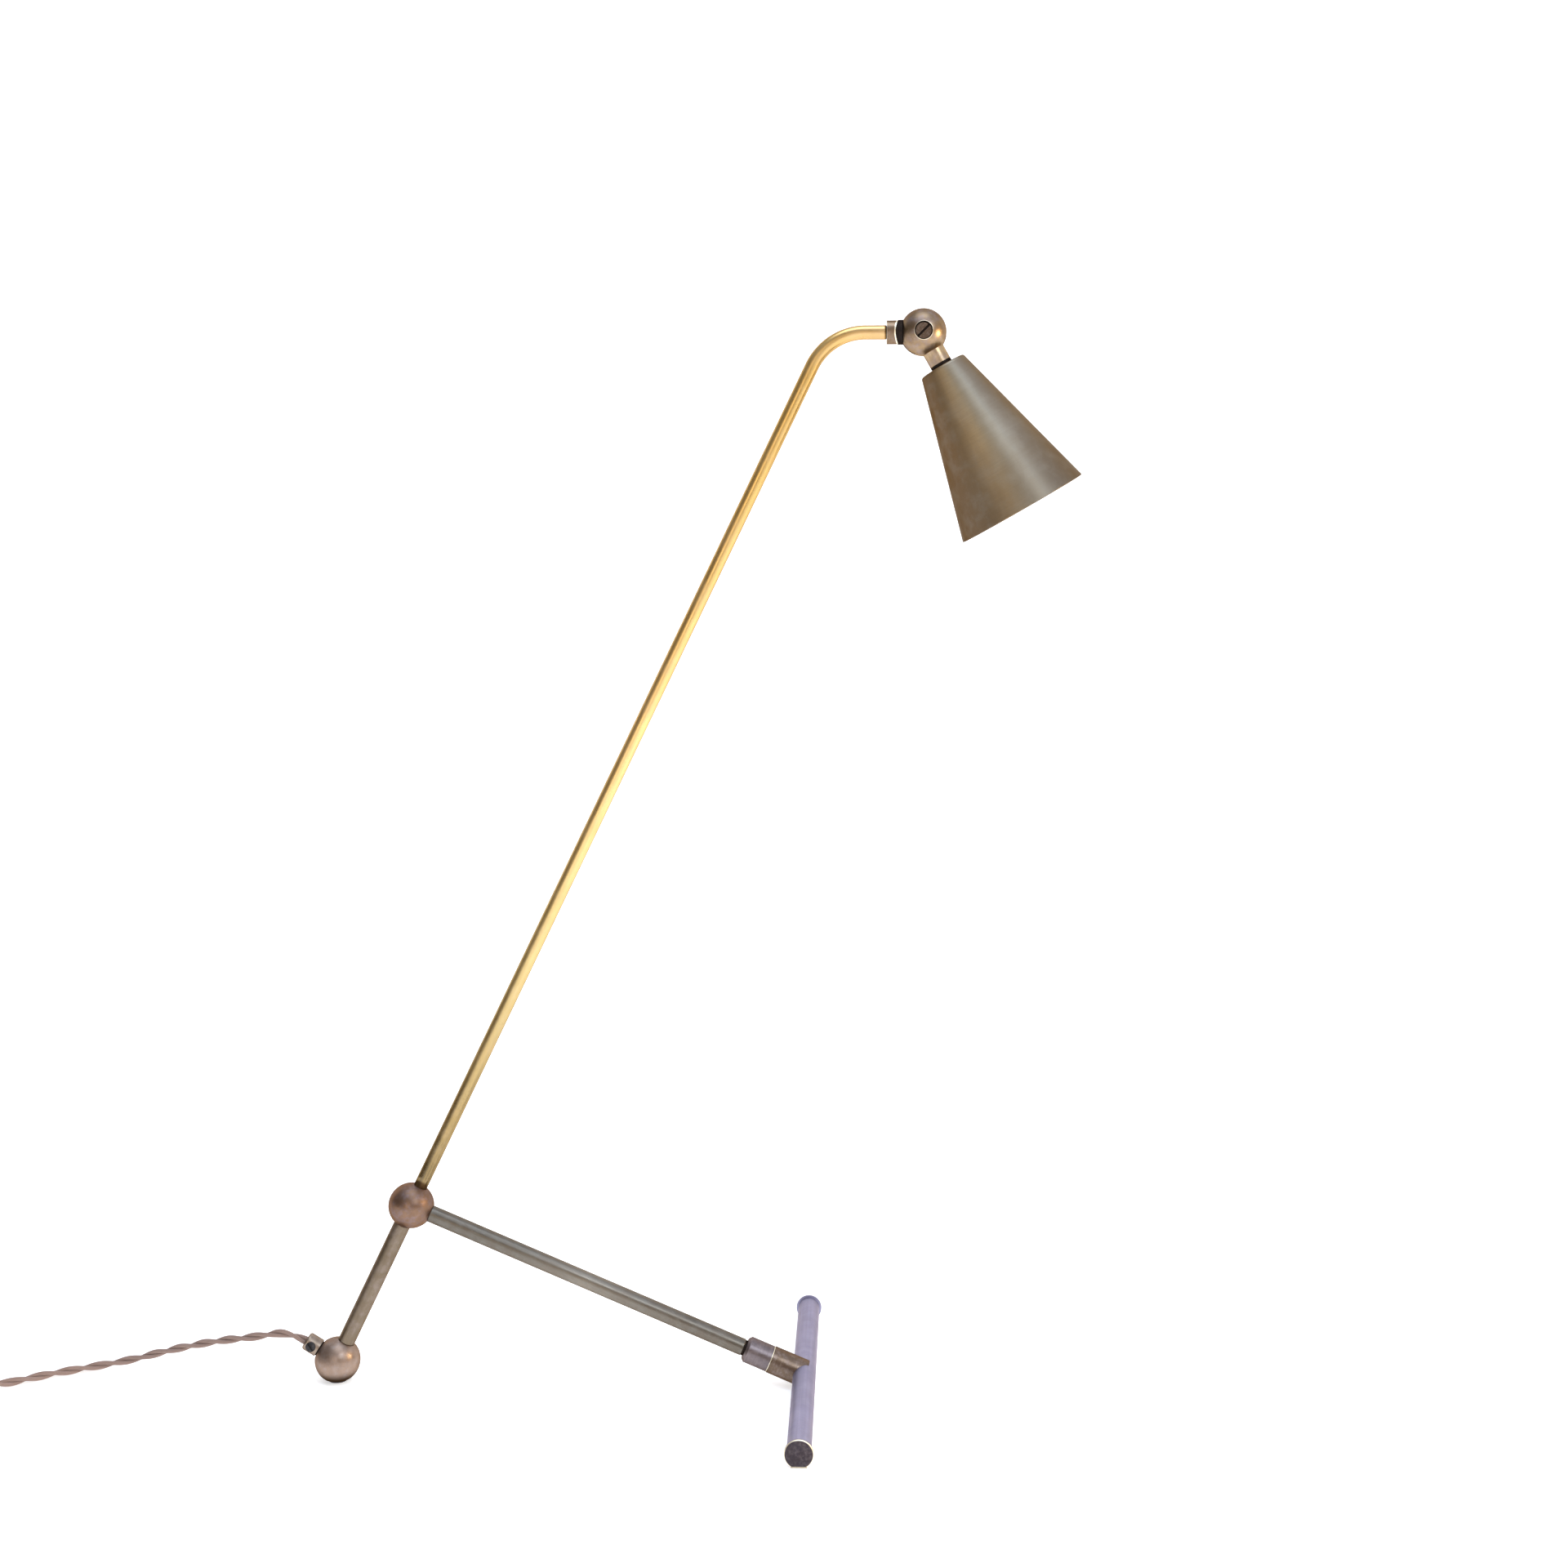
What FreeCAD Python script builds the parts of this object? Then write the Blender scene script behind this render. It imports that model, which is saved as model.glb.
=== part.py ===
import FreeCAD, Part

# Brass table lamp: two drilled balls, a bent arm, a leg with a crossbar foot and a conical shade on a
# knuckle joint.  Millimetres.  +Z up, +X from the rear foot towards the shade, Y along the crossbar.
# The origin is on the table under the middle of the crossbar.
import math
import os

V = FreeCAD.Vector

# ---------------------------------------------------------------- driving dimensions
BALL_D = 27.0             # foot, hub and knuckle balls
LEAN_DEG = 25.8           # arm and lower tube, from the vertical
FOOT_TO_HUB = 105.0       # between ball centres
LEG_SPAN = 254.56         # hub ball centre to crossbar axis
ARM_SPAN = 568.5          # hub ball centre to the corner of the arm's centre line
ARM_BEND_R = 34.0         # centre-line radius of the bend
HEAD_GAP = 41.0           # corner of the arm to the ball at its end
HEAD_DROP_DEG = 60.1      # shade axis below the horizontal, as stored
HEAD_TWIST_DEG = 2.5      # head turned about the arm's end, as stored

TUBE_D = 10.0             # lower tube and leg
TUBE_WALL = 1.0
ARM_D = 8.0
ARM_WALL = 1.0
WIRE_D = 3.6              # pair of thin leads inside the arm
THREAD_CLEAR = 0.05       # radial room between a thread's outside and its hole
SEAT_RIM = 0.3            # flat left round a tube's end on a ball
HOLE_FLOOR = 5.0          # ball centre to the floor of each threaded hole
STUD_GRIP = 12.0          # length of a nipple or stud inside its tube
WIRE_ROOM = 0.2           # radial room round the leads
FLAT_EXTRA = 0.6          # cutter for a ball's flat, past the end that sits there

PAD_T = 1.6               # rubber pad under the foot ball
PAD_TOP_D = 14.6
PAD_FOOT_D = 10.4
FOOT_CUT = 0.9            # how far the foot ball's round would reach below the table

BAR_D = 13.6              # crossbar
BAR_Z = 7.6               # its axis above the table
BAR_WALL = 1.5
BAR_L = 244.0
FELT_T = 1.0
FELT_INSET = 0.2          # felt edge back from the flat's edge
CAP_D = 16.2              # flange of an end cap, which the bar stands on
CAP_T = 2.0
CAP_PLUG_L = 10.0
CAP_BEVEL = 0.5
STUB_D = 16.2             # tee stub brazed to the crossbar
STUB_END = 21.7           # crossbar axis to the stub's outer face
LOCK_D = 15.6             # lock collar
LOCK_L = 16.6
LOCK_BEVEL = 1.6
LOCK_GAP = 1.4            # dark gap between leg and lock collar, with its washer
LOCK_WASHER_IN = 0.4      # washer's edge in from the leg's
STUD_D = 8.0              # M8 studs and nipples
STUD_SHORT = 2.0          # crossbar's surface to the tip of the lower stud

GRIP_D = 10.8             # cord grip
GRIP_RISE_DEG = 32.0      # its axis above the horizontal
GRIP_L = 9.0
GRIP_ROUND = 1.4
GRIP_BORE_D = 5.6
GRIP_WALL_IN = 1.4        # from the grip's inner face to the cord's seat
GRIP_WASHER_T = 0.8
GRIP_WASHER_D = 9.2
GRIP_SCREW_D = 6.0
GRIP_SCREW_AT = 4.5       # from the grip's inner face
GRIP_SCREW_PROUD = 0.4
GRIP_SCREW_TURN_DEG = 60.0
SLOT_W = 1.3              # screwdriver slots
SLOT_DEPTH = 1.2

COLLAR_D = 13.4           # swivel collar at the arm's end
COLLAR_GAP = 7.4          # ball to the collar's back face
COLLAR_WALL = 2.5
COLLAR_POCKET_D = 10.0
MOUTH_GAP = 2.4           # ball to the collar's fish-mouth, which is round about the tilt pivot
SWIVEL_WASHER_T = 0.4
SWIVEL_WASHER_D = 7.4
SWIVEL_NUT_D = 9.2
SWIVEL_NUT_T = 1.5
RUN_CLEAR = 0.05          # radial or face clearance of a turning fit
POST_D = 6.0
ROOT_D = 14.0             # round root of the tongue
BALL_CLEAR = 0.3          # root to ball
BLADE_T = 4.4             # tongue's blade
BLADE_H = 13.6
FRICTION_T = 0.4          # friction washers in the knuckle's slot
FRICTION_D = 12.4
SLOT_FLOOR = 8.6          # pivot to the floor of the ball's slot, towards the neck
SCREW_D = 5.0             # pivot screw
SCREW_HEAD_D = 9.2
SCREW_HEAD_T = 3.2
SCREW_END = 10.0          # pivot to the screw's tip
SINK_D = 10.2             # counterbore for the screw head
SINK_FLOOR = 7.5          # pivot to the counterbore's floor
SCREW_TURN_DEG = 45.0     # slot of the pivot screw, as stored

NECK_D = 12.8
NECK_RING_T = 2.2         # dark ring between neck and shade
NECK_BOTTOM = 14.0        # pivot to the floor of the neck's threaded hole
SHADE_GAP = 8.7           # ball to the shade's top face
SHADE_TOP_D = 27.4
SHADE_MOUTH_D = 78.1
SHADE_L = 93.5
SHADE_T = 1.0
SHADE_ROUND = 1.7
NUT_AF = 12.0             # lock nut inside the shade
NUT_T = 3.0
HOLDER_D = 21.0           # small candelabra lampholder
HOLDER_WALL = 1.0
HOLDER_CAP_L = 10.0
HOLDER_SLEEVE_L = 31.0
HOLDER_CLEAR = 0.2
NIPPLE_SHOW = 1.0         # nipple past the lampholder cap's inner face
CORE_TOP = 3.5            # cap's outer face to the core's top
CORE_L = 13.5
SHELL_D = 13.2            # threaded shell for the bulb
SHELL_T = 0.5
SHELL_L = 21.0
CONTACT_D = 5.0
CONTACT_T = 0.8
BULB_BASE_D = 11.9
BULB_BASE_L = 20.0
BULB_TIP_L = 0.6
BULB_D = 23.0
BULB_GLASS_L = 34.0
BULB_JOIN_DEG = 50.0      # where the bulb's neck meets its ball, below the ball's equator

CORD_D = 5.0              # twisted pair, over both strands
# Route of the cord from the seat in the cord grip to the switch, then from the switch to the coil,
# then from the coil to the plug.  The first two points of the first part are worked out below.
SWITCH_ROUTE = [(-330.0, 2.0, 25.2), (-356.0, 6.5, 20.8), (-385.0, 12.0, 13.2), (-410.0, 15.5, 5.4),
                (-432.0, 11.0, 2.5), (-455.0, -3.0, 2.5), (-478.0, -22.5, 2.5), (-493.0, -33.8, 8.0),
                (-509.0, -45.8, 8.0)]
COIL_ROUTE = [(-555.4, -80.6, 8.0), (-568.2, -90.2, 7.6), (-582.0, -102.0, 3.6), (-595.3, -109.3, 3.2)]
PLUG_ROUTE = [(-648.6, -71.4, 7.7), (-647.0, -54.0, 8.6), (-646.0, -38.0, 12.0), (-646.0, -22.0, 12.0)]
FIRST_RUN = 18.3          # from the cord's seat to the route's first turn
RUN_SHARE = 0.45          # of the shorter run, used by the arc at a point

COIL_MIDDLE = (-612.6, -74.7)
ROUTE_FOOT_X = -279.99    # where the foot ball stood when these places were chosen
COIL_R_OUT = 41.3         # outside of the bottom turns
COIL_R_IN = 15.6
COIL_TOP_R_OUT = 38.8
COIL_TOP_R_IN = 18.1
COIL_Z = 0.7              # underside, above the tie
COIL_LOW_H = 5.0
COIL_H = 9.5
TIE_W = 8.0
TIE_T = 0.6
TIE_CLEAR = 0.1
TIE_AT_DEG = 250.0

SWITCH_L = 58.0           # in-line switch on the cord
SWITCH_W = 24.0
SWITCH_H = 16.0
SWITCH_ROUND = 3.0
SWITCH_WALL = 2.0
SWITCH_BORE_D = 5.4
ROCKER_L = 20.0
ROCKER_W = 10.0
ROCKER_H = 8.0
ROCKER_GAP = 0.4
ROCKER_AXLE_D = 2.4
ROCKER_AXLE_DROP = 4.2    # rocker's axle below the housing's top
ROCKER_PROUD = 1.8        # rocker's ends above the housing's top, when level
ROCKER_TILT_DEG = 8.0
CONTACT_STRIP_L = 7.0
CONTACT_STRIP_W = 5.0
CONTACT_STRIP_T = 0.8
CASE_SCREW_D = 4.6
CASE_SCREW_AT = 21.0      # from the switch's middle
CASE_SCREW_T = 1.2

PLUG_D = 24.0
PLUG_L = 22.0
PLUG_NOSE_L = 6.0
PLUG_NOSE_D = 12.0
PLUG_CONE_L = 2.0         # steep part of the plug's shoulder, outside the nose
PLUG_SLOPE_L = 5.0        # whole shoulder
PLUG_SHEET_T = 3.0        # face plate that holds the blades
BLADE_GAP = 12.7          # between the plug's blades
PIN_W = 6.3
PIN_T = 1.5
PIN_L = 17.5

# ---------------------------------------------------------------- derived places and directions
BALL_R = BALL_D / 2
TUBE_R = TUBE_D / 2
ARM_R = ARM_D / 2
BAR_R = BAR_D / 2
CAP_R = CAP_D / 2
LOCK_WASHER_D = TUBE_D - 2 * LOCK_WASHER_IN
FOOT_Z = BALL_R - FOOT_CUT
MOUTH_R = BALL_R + MOUTH_GAP
COLLAR_BACK = BALL_R + COLLAR_GAP
SHADE_AT = BALL_R + SHADE_GAP
STUD_R = STUD_D / 2 - THREAD_CLEAR
WIRE_HOLE_R = WIRE_D / 2 + WIRE_ROOM

LEAN = math.radians(LEAN_DEG)
UP_ARM = V(math.sin(LEAN), 0, math.cos(LEAN))
GRIP_RISE = math.radians(GRIP_RISE_DEG)
TO_GRIP = V(-math.cos(GRIP_RISE), 0, math.sin(GRIP_RISE))
HUB_Z = FOOT_Z + FOOT_TO_HUB * math.cos(LEAN)
HUB = V(-math.sqrt(LEG_SPAN ** 2 - (HUB_Z - BAR_Z) ** 2), 0, HUB_Z)
FOOT = HUB - UP_ARM * FOOT_TO_HUB
BAR = V(0, 0, BAR_Z)
DOWN_LEG = (BAR - HUB).normalize()
CORNER = HUB + UP_ARM * ARM_SPAN
ALONG = V(1, 0, 0)
PIVOT = CORNER + ALONG * (BALL_R + HEAD_GAP)

TWIST = FreeCAD.Rotation(ALONG, HEAD_TWIST_DEG)
PIVOT_AXIS = TWIST.multVec(V(0, 1, 0))
DROP = math.radians(HEAD_DROP_DEG)
DOWN_SHADE = TWIST.multVec(V(math.cos(DROP), 0, -math.sin(DROP)))
SHADE_TOP = PIVOT + DOWN_SHADE * SHADE_AT


def with_foot(points):
    """Chosen places, carried along in X with the foot ball."""
    shift = FOOT.x - ROUTE_FOOT_X
    return [(point[0] + shift,) + tuple(point[1:]) for point in points]


TO_SWITCH, TO_COIL, TO_PLUG = with_foot(SWITCH_ROUTE), with_foot(COIL_ROUTE), with_foot(PLUG_ROUTE)
COIL_AT = with_foot([COIL_MIDDLE])[0]

# distances back from the tilt pivot along the arm's end
ARM_END = COLLAR_BACK + SWIVEL_WASHER_T
POCKET_FLOOR = COLLAR_BACK - COLLAR_WALL
NUT_BACK = POCKET_FLOOR - RUN_CLEAR
POST_TIP = NUT_BACK - SWIVEL_NUT_T
POST_R = POST_D / 2 - THREAD_CLEAR


def seat(radius):
    """Distance from a ball's centre to the flat that a round end of this radius sits on."""
    return math.sqrt(BALL_R ** 2 - (radius + SEAT_RIM) ** 2)


# ---------------------------------------------------------------- small makers
def rod(start, way, radius, length):
    return Part.makeCylinder(radius, length, start, way)


def ring(start, way, radius, bore, length):
    return rod(start, way, radius, length).cut(rod(start, way, bore, length))


def flat_on_ball(centre, way, radius):
    """What is taken off a ball to leave the flat for a round end of this radius."""
    return rod(centre + way * seat(radius), way, radius + FLAT_EXTRA, BALL_R)


def screw_hole(centre, way, radius):
    """A blind hole from outside the ball to the hole floor."""
    return rod(centre + way * HOLE_FLOOR, way, radius, BALL_R)


def smooth_path(points, radius=None):
    """Straight runs joined by tangent arcs, as one wire, and the arcs' radii."""
    pts = [V(*p) for p in points]
    edges, radii, start = [], [], pts[0]
    for before, at, after in zip(pts, pts[1:], pts[2:]):
        back, on = (before - at), (after - at)
        half_turn = (math.pi - back.getAngle(on)) / 2
        shorter = min(back.Length, on.Length)
        r = radius or RUN_SHARE * shorter / math.tan(half_turn)
        reach = r * math.tan(half_turn)
        back.normalize()
        on.normalize()
        a, b = at + back * reach, at + on * reach
        inward = (back + on).normalize()
        middle = at + inward * (r / math.cos(half_turn) - r)
        edges.append(Part.LineSegment(start, a).toShape())
        edges.append(Part.Arc(a, middle, b).toShape())
        radii.append(r)
        start = b
    edges.append(Part.LineSegment(start, pts[-1]).toShape())
    return Part.Wire(edges), radii


def swept(wire, radius):
    """A round bar along a smooth wire."""
    first = wire.Edges[0]
    way = first.tangentAt(first.FirstParameter)
    disc = Part.Wire(Part.makeCircle(radius, first.Vertexes[0].Point, way))
    return wire.makePipeShell([disc], True, True)


def turned(profile, centre, way):
    """A solid of revolution: profile is a list of (radius, distance) and arcs ((mid), (end)) in order."""
    side = V(0, 1, 0)
    if abs(way.dot(side)) > 0.9:
        side = ALONG
    out = (side - way * side.dot(way)).normalize()

    def place(pair):
        return centre + out * pair[0] + way * pair[1]

    edges, here = [], place(profile[0])
    for step in profile[1:] + [profile[0]]:
        if isinstance(step[0], tuple):
            edges.append(Part.Arc(here, place(step[0]), place(step[1])).toShape())
            here = place(step[1])
        elif (place(step) - here).Length > 1e-6:
            edges.append(Part.LineSegment(here, place(step)).toShape())
            here = place(step)
    return Part.Face(Part.Wire(edges)).revolve(centre, way, 360)


def half_space_above(z):
    """Everything above a height, large enough for the whole lamp."""
    reach = 4 * (ARM_SPAN + LEG_SPAN)
    return Part.makeBox(reach, reach, reach, V(-reach / 2, -reach / 2, z))


# ---------------------------------------------------------------- rear foot and hub
def make_foot_ball():
    body = Part.makeSphere(BALL_R, FOOT).common(half_space_above(PAD_T))
    for way, radius in ((UP_ARM, TUBE_R), (TO_GRIP, GRIP_D / 2)):
        body = body.cut(flat_on_ball(FOOT, way, radius))
        body = body.cut(screw_hole(FOOT, way, STUD_D / 2))
        body = body.cut(rod(FOOT, way, WIRE_HOLE_R, HOLE_FLOOR))
    return body.cut(Part.makeSphere(WIRE_HOLE_R, FOOT))


def make_foot_pad():
    return Part.makeCone(PAD_FOOT_D / 2, PAD_TOP_D / 2, PAD_T, V(FOOT.x, FOOT.y, 0))


def make_lower_tube():
    length = FOOT_TO_HUB - 2 * seat(TUBE_R)
    return ring(FOOT + UP_ARM * seat(TUBE_R), UP_ARM, TUBE_R, TUBE_R - TUBE_WALL, length)


def nipple(centre, way, radius, end_radius):
    """Hollow thread from a ball's hole floor into the tube that sits on the ball."""
    length = seat(end_radius) - HOLE_FLOOR + STUD_GRIP
    return ring(centre + way * HOLE_FLOOR, way, radius, WIRE_HOLE_R, length)


def make_foot_nipple():
    return nipple(FOOT, UP_ARM, STUD_R, TUBE_R)


def make_hub_lower_nipple():
    return nipple(HUB, -UP_ARM, STUD_R, TUBE_R)


def make_arm_nipple():
    return nipple(HUB, UP_ARM, ARM_R - ARM_WALL - THREAD_CLEAR, ARM_R)


def make_hub_ball():
    body = Part.makeSphere(BALL_R, HUB)
    holes = ((UP_ARM, ARM_R, ARM_R - ARM_WALL), (-UP_ARM, TUBE_R, STUD_D / 2),
             (DOWN_LEG, TUBE_R, STUD_D / 2))
    for way, end_radius, hole in holes:
        body = body.cut(flat_on_ball(HUB, way, end_radius))
        body = body.cut(screw_hole(HUB, way, hole))
    return body.cut(rod(HUB - UP_ARM * HOLE_FLOOR, UP_ARM, WIRE_HOLE_R, 2 * HOLE_FLOOR))


# ---------------------------------------------------------------- arm
def arm_path(start, end):
    """Centre line from a distance above the hub to a distance before the tilt pivot."""
    points = [HUB + UP_ARM * start, CORNER, PIVOT - ALONG * end]
    return smooth_path([tuple(p) for p in points], ARM_BEND_R)[0]


def make_arm_tube():
    path = arm_path(seat(ARM_R), ARM_END)
    return swept(path, ARM_R).cut(swept(path, ARM_R - ARM_WALL))


def make_arm_leads():
    """The pair of leads from inside the foot ball to the swivel post."""
    points = [FOOT + UP_ARM * WIRE_D, CORNER, PIVOT - ALONG * POST_TIP]
    return swept(smooth_path([tuple(p) for p in points], ARM_BEND_R)[0], WIRE_D / 2)


# ---------------------------------------------------------------- leg and crossbar
def on_leg(from_bar):
    return BAR - DOWN_LEG * from_bar


LOCK_TOP = STUB_END + LOCK_L
LEG_END = LOCK_TOP + LOCK_GAP
STUD_TIP = BAR_R + STUD_SHORT


def make_leg_tube():
    start = HUB + DOWN_LEG * seat(TUBE_R)
    length = LEG_SPAN - seat(TUBE_R) - LEG_END
    return ring(start, DOWN_LEG, TUBE_R, TUBE_R - TUBE_WALL, length)


def make_leg_hub_stud():
    return rod(HUB + DOWN_LEG * HOLE_FLOOR, DOWN_LEG, STUD_R, seat(TUBE_R) - HOLE_FLOOR + STUD_GRIP)


def make_leg_foot_stud():
    return rod(on_leg(LEG_END + STUD_GRIP), DOWN_LEG, STUD_R, LEG_END + STUD_GRIP - STUD_TIP)


def make_lock_washer():
    return ring(on_leg(LEG_END), DOWN_LEG, LOCK_WASHER_D / 2, STUD_D / 2, LOCK_GAP)


def make_lock_collar():
    radius = LOCK_D / 2
    profile = [(STUD_D / 2, 0), (radius - LOCK_BEVEL, 0), (radius, LOCK_BEVEL), (radius, LOCK_L),
               (STUD_D / 2, LOCK_L)]
    return turned(profile, on_leg(LOCK_TOP), DOWN_LEG)


def make_tee_stub():
    body = rod(on_leg(STUB_END), DOWN_LEG, STUB_D / 2, STUB_END)
    body = body.cut(rod(BAR - V(0, BAR_L / 2, 0), V(0, 1, 0), BAR_R, BAR_L))
    body = body.cut(rod(on_leg(STUB_END), DOWN_LEG, STUD_D / 2, STUB_END - STUD_TIP))
    kept = max(body.Solids, key=lambda solid: solid.Volume)
    return kept.common(half_space_above(FELT_T))


TUBE_HALF = BAR_L / 2 - CAP_T


def make_crossbar():
    start = BAR - V(0, TUBE_HALF, 0)
    body = ring(start, V(0, 1, 0), BAR_R, BAR_R - BAR_WALL, 2 * TUBE_HALF)
    return body.common(half_space_above(FELT_T))


def make_end_cap(side):
    """Turned cap: a bevelled flange wider than the bar and a plug inside it."""
    plug_r = BAR_R - BAR_WALL - THREAD_CLEAR
    profile = [(0, -CAP_PLUG_L), (plug_r, -CAP_PLUG_L), (plug_r, 0), (CAP_R, 0), (CAP_R, CAP_T - CAP_BEVEL),
               (CAP_R - CAP_BEVEL, CAP_T), (0, CAP_T)]
    body = turned(profile, BAR + V(0, side * TUBE_HALF, 0), V(0, side, 0))
    return body.common(half_space_above(FELT_T))


def make_felt_strip():
    width = 2 * (math.sqrt(CAP_R ** 2 - (BAR_Z - FELT_T) ** 2) - FELT_INSET)
    length = BAR_L - 2 * CAP_BEVEL
    return Part.makeBox(width, length, FELT_T, V(-width / 2, -length / 2, 0))


# ---------------------------------------------------------------- cord grip
GRIP_FACE = seat(GRIP_D / 2) + GRIP_WASHER_T     # ball centre to the grip's inner face
CORD_SEAT = GRIP_FACE + GRIP_WALL_IN


def make_grip_washer():
    start = FOOT + TO_GRIP * seat(GRIP_D / 2)
    return ring(start, TO_GRIP, GRIP_WASHER_D / 2, STUD_D / 2, GRIP_WASHER_T)


def make_cord_grip():
    radius = GRIP_D / 2
    bore = GRIP_BORE_D / 2
    start = HOLE_FLOOR - GRIP_FACE
    bend = GRIP_ROUND * (1 - math.sqrt(0.5))
    profile = [(WIRE_HOLE_R, start), (STUD_R, start), (STUD_R, 0), (radius, 0),
               (radius, GRIP_L - GRIP_ROUND),
               ((radius - bend, GRIP_L - bend), (radius - GRIP_ROUND, GRIP_L)),
               (bore, GRIP_L), (bore, GRIP_WALL_IN), (WIRE_HOLE_R, GRIP_WALL_IN)]
    body = turned(profile, FOOT + TO_GRIP * GRIP_FACE, TO_GRIP)
    at = FOOT + TO_GRIP * (GRIP_FACE + GRIP_SCREW_AT)
    return body.cut(rod(at, V(0, -1, 0), GRIP_SCREW_D / 2, GRIP_D))


def make_grip_screw():
    """Nylon screw that presses on the cord, slotted at its outer end."""
    at = FOOT + TO_GRIP * (GRIP_FACE + GRIP_SCREW_AT)
    inner = CORD_D / 2 + THREAD_CLEAR
    outer = GRIP_D / 2 + GRIP_SCREW_PROUD
    body = rod(at - V(0, inner, 0), V(0, -1, 0), GRIP_SCREW_D / 2 - THREAD_CLEAR, outer - inner)
    slot = Part.makeBox(GRIP_D, SLOT_DEPTH, SLOT_W, V(-GRIP_D / 2, -SLOT_DEPTH, -SLOT_W / 2))
    turn = FreeCAD.Rotation(V(0, 1, 0), GRIP_SCREW_TURN_DEG)
    slot.Placement = FreeCAD.Placement(at - V(0, outer - SLOT_DEPTH, 0), turn)
    return body.cut(slot)


# ---------------------------------------------------------------- swivel at the arm's end
def before_pivot(distance):
    return PIVOT - ALONG * distance


def make_swivel_post():
    """Hollow rivet-like post screwed into the arm; the collar turns on it."""
    start = ARM_END + STUD_GRIP
    return ring(before_pivot(start), ALONG, POST_R, WIRE_HOLE_R, start - POST_TIP)


def make_swivel_washer():
    return ring(before_pivot(ARM_END), ALONG, SWIVEL_WASHER_D / 2, POST_D / 2, SWIVEL_WASHER_T - RUN_CLEAR)


def make_swivel_nut():
    return ring(before_pivot(NUT_BACK), ALONG, SWIVEL_NUT_D / 2, POST_D / 2, SWIVEL_NUT_T)


def mouth():
    """The cylinder about the pivot axis that shapes the collar's mouth and the root's back."""
    return rod(PIVOT - PIVOT_AXIS * BALL_D, PIVOT_AXIS, MOUTH_R, 2 * BALL_D)


def make_swivel_collar():
    body = rod(before_pivot(COLLAR_BACK), ALONG, COLLAR_D / 2, COLLAR_BACK)
    body = body.cut(mouth())
    body = body.cut(rod(before_pivot(COLLAR_BACK), ALONG, POST_R + RUN_CLEAR, COLLAR_BACK))
    return body.cut(rod(before_pivot(POCKET_FLOOR), ALONG, COLLAR_POCKET_D / 2, COLLAR_BACK))


def make_knuckle_tongue():
    """Round root in the collar's mouth, and a blade with a round eye about the tilt pivot."""
    root = rod(before_pivot(MOUTH_R), ALONG, ROOT_D / 2, MOUTH_R).common(mouth())
    root = root.cut(Part.makeSphere(BALL_R + BALL_CLEAR, PIVOT))
    root = max(root.Solids, key=lambda solid: solid.Volume)
    blade = Part.makeBox(BALL_R + 2 * BALL_CLEAR, BLADE_T, BLADE_H,
                         V(-BALL_R - 2 * BALL_CLEAR, -BLADE_T / 2, -BLADE_H / 2))
    blade.Placement = FreeCAD.Placement(PIVOT, TWIST)
    eye = rod(PIVOT - PIVOT_AXIS * (BLADE_T / 2), PIVOT_AXIS, BLADE_H / 2, BLADE_T)
    body = root.fuse([blade, eye])
    hole = rod(PIVOT - PIVOT_AXIS * BLADE_T, PIVOT_AXIS, SCREW_D / 2 + RUN_CLEAR, 2 * BLADE_T)
    return body.cut(hole).removeSplitter()


# ---------------------------------------------------------------- tilting head
SLOT_HALF = BLADE_T / 2 + FRICTION_T + RUN_CLEAR


def make_knuckle_ball():
    ring_face = SHADE_AT - NECK_RING_T
    body = Part.makeSphere(BALL_R, PIVOT).fuse(rod(PIVOT, DOWN_SHADE, NECK_D / 2, ring_face))
    across = PIVOT_AXIS.cross(DOWN_SHADE)
    slot = Part.makeBox(BALL_D, 2 * SLOT_HALF, BALL_R + SLOT_FLOOR, V(-BALL_R, -SLOT_HALF, -BALL_R))
    frame = FreeCAD.Matrix(across.x, PIVOT_AXIS.x, DOWN_SHADE.x, PIVOT.x,
                           across.y, PIVOT_AXIS.y, DOWN_SHADE.y, PIVOT.y,
                           across.z, PIVOT_AXIS.z, DOWN_SHADE.z, PIVOT.z, 0, 0, 0, 1)
    slot.Placement = FreeCAD.Placement(frame)
    body = body.cut(slot)
    body = body.cut(rod(PIVOT - PIVOT_AXIS * SINK_FLOOR, -PIVOT_AXIS, SINK_D / 2, BALL_R))
    screw_r = SCREW_D / 2 + THREAD_CLEAR
    body = body.cut(rod(PIVOT - PIVOT_AXIS * BALL_R, PIVOT_AXIS, screw_r, BALL_R + SCREW_END))
    body = body.cut(rod(PIVOT, DOWN_SHADE, WIRE_HOLE_R, ring_face))
    return body.cut(rod(PIVOT + DOWN_SHADE * NECK_BOTTOM, DOWN_SHADE, STUD_D / 2, ring_face))


def make_friction_washers():
    """One each side of the blade, against the ball's cheeks."""
    made = []
    for side in (-1, 1):
        start = PIVOT + PIVOT_AXIS * (side * (SLOT_HALF - FRICTION_T))
        made.append(ring(start, PIVOT_AXIS * side, FRICTION_D / 2, SCREW_D / 2 + RUN_CLEAR, FRICTION_T))
    return Part.makeCompound(made)


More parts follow.
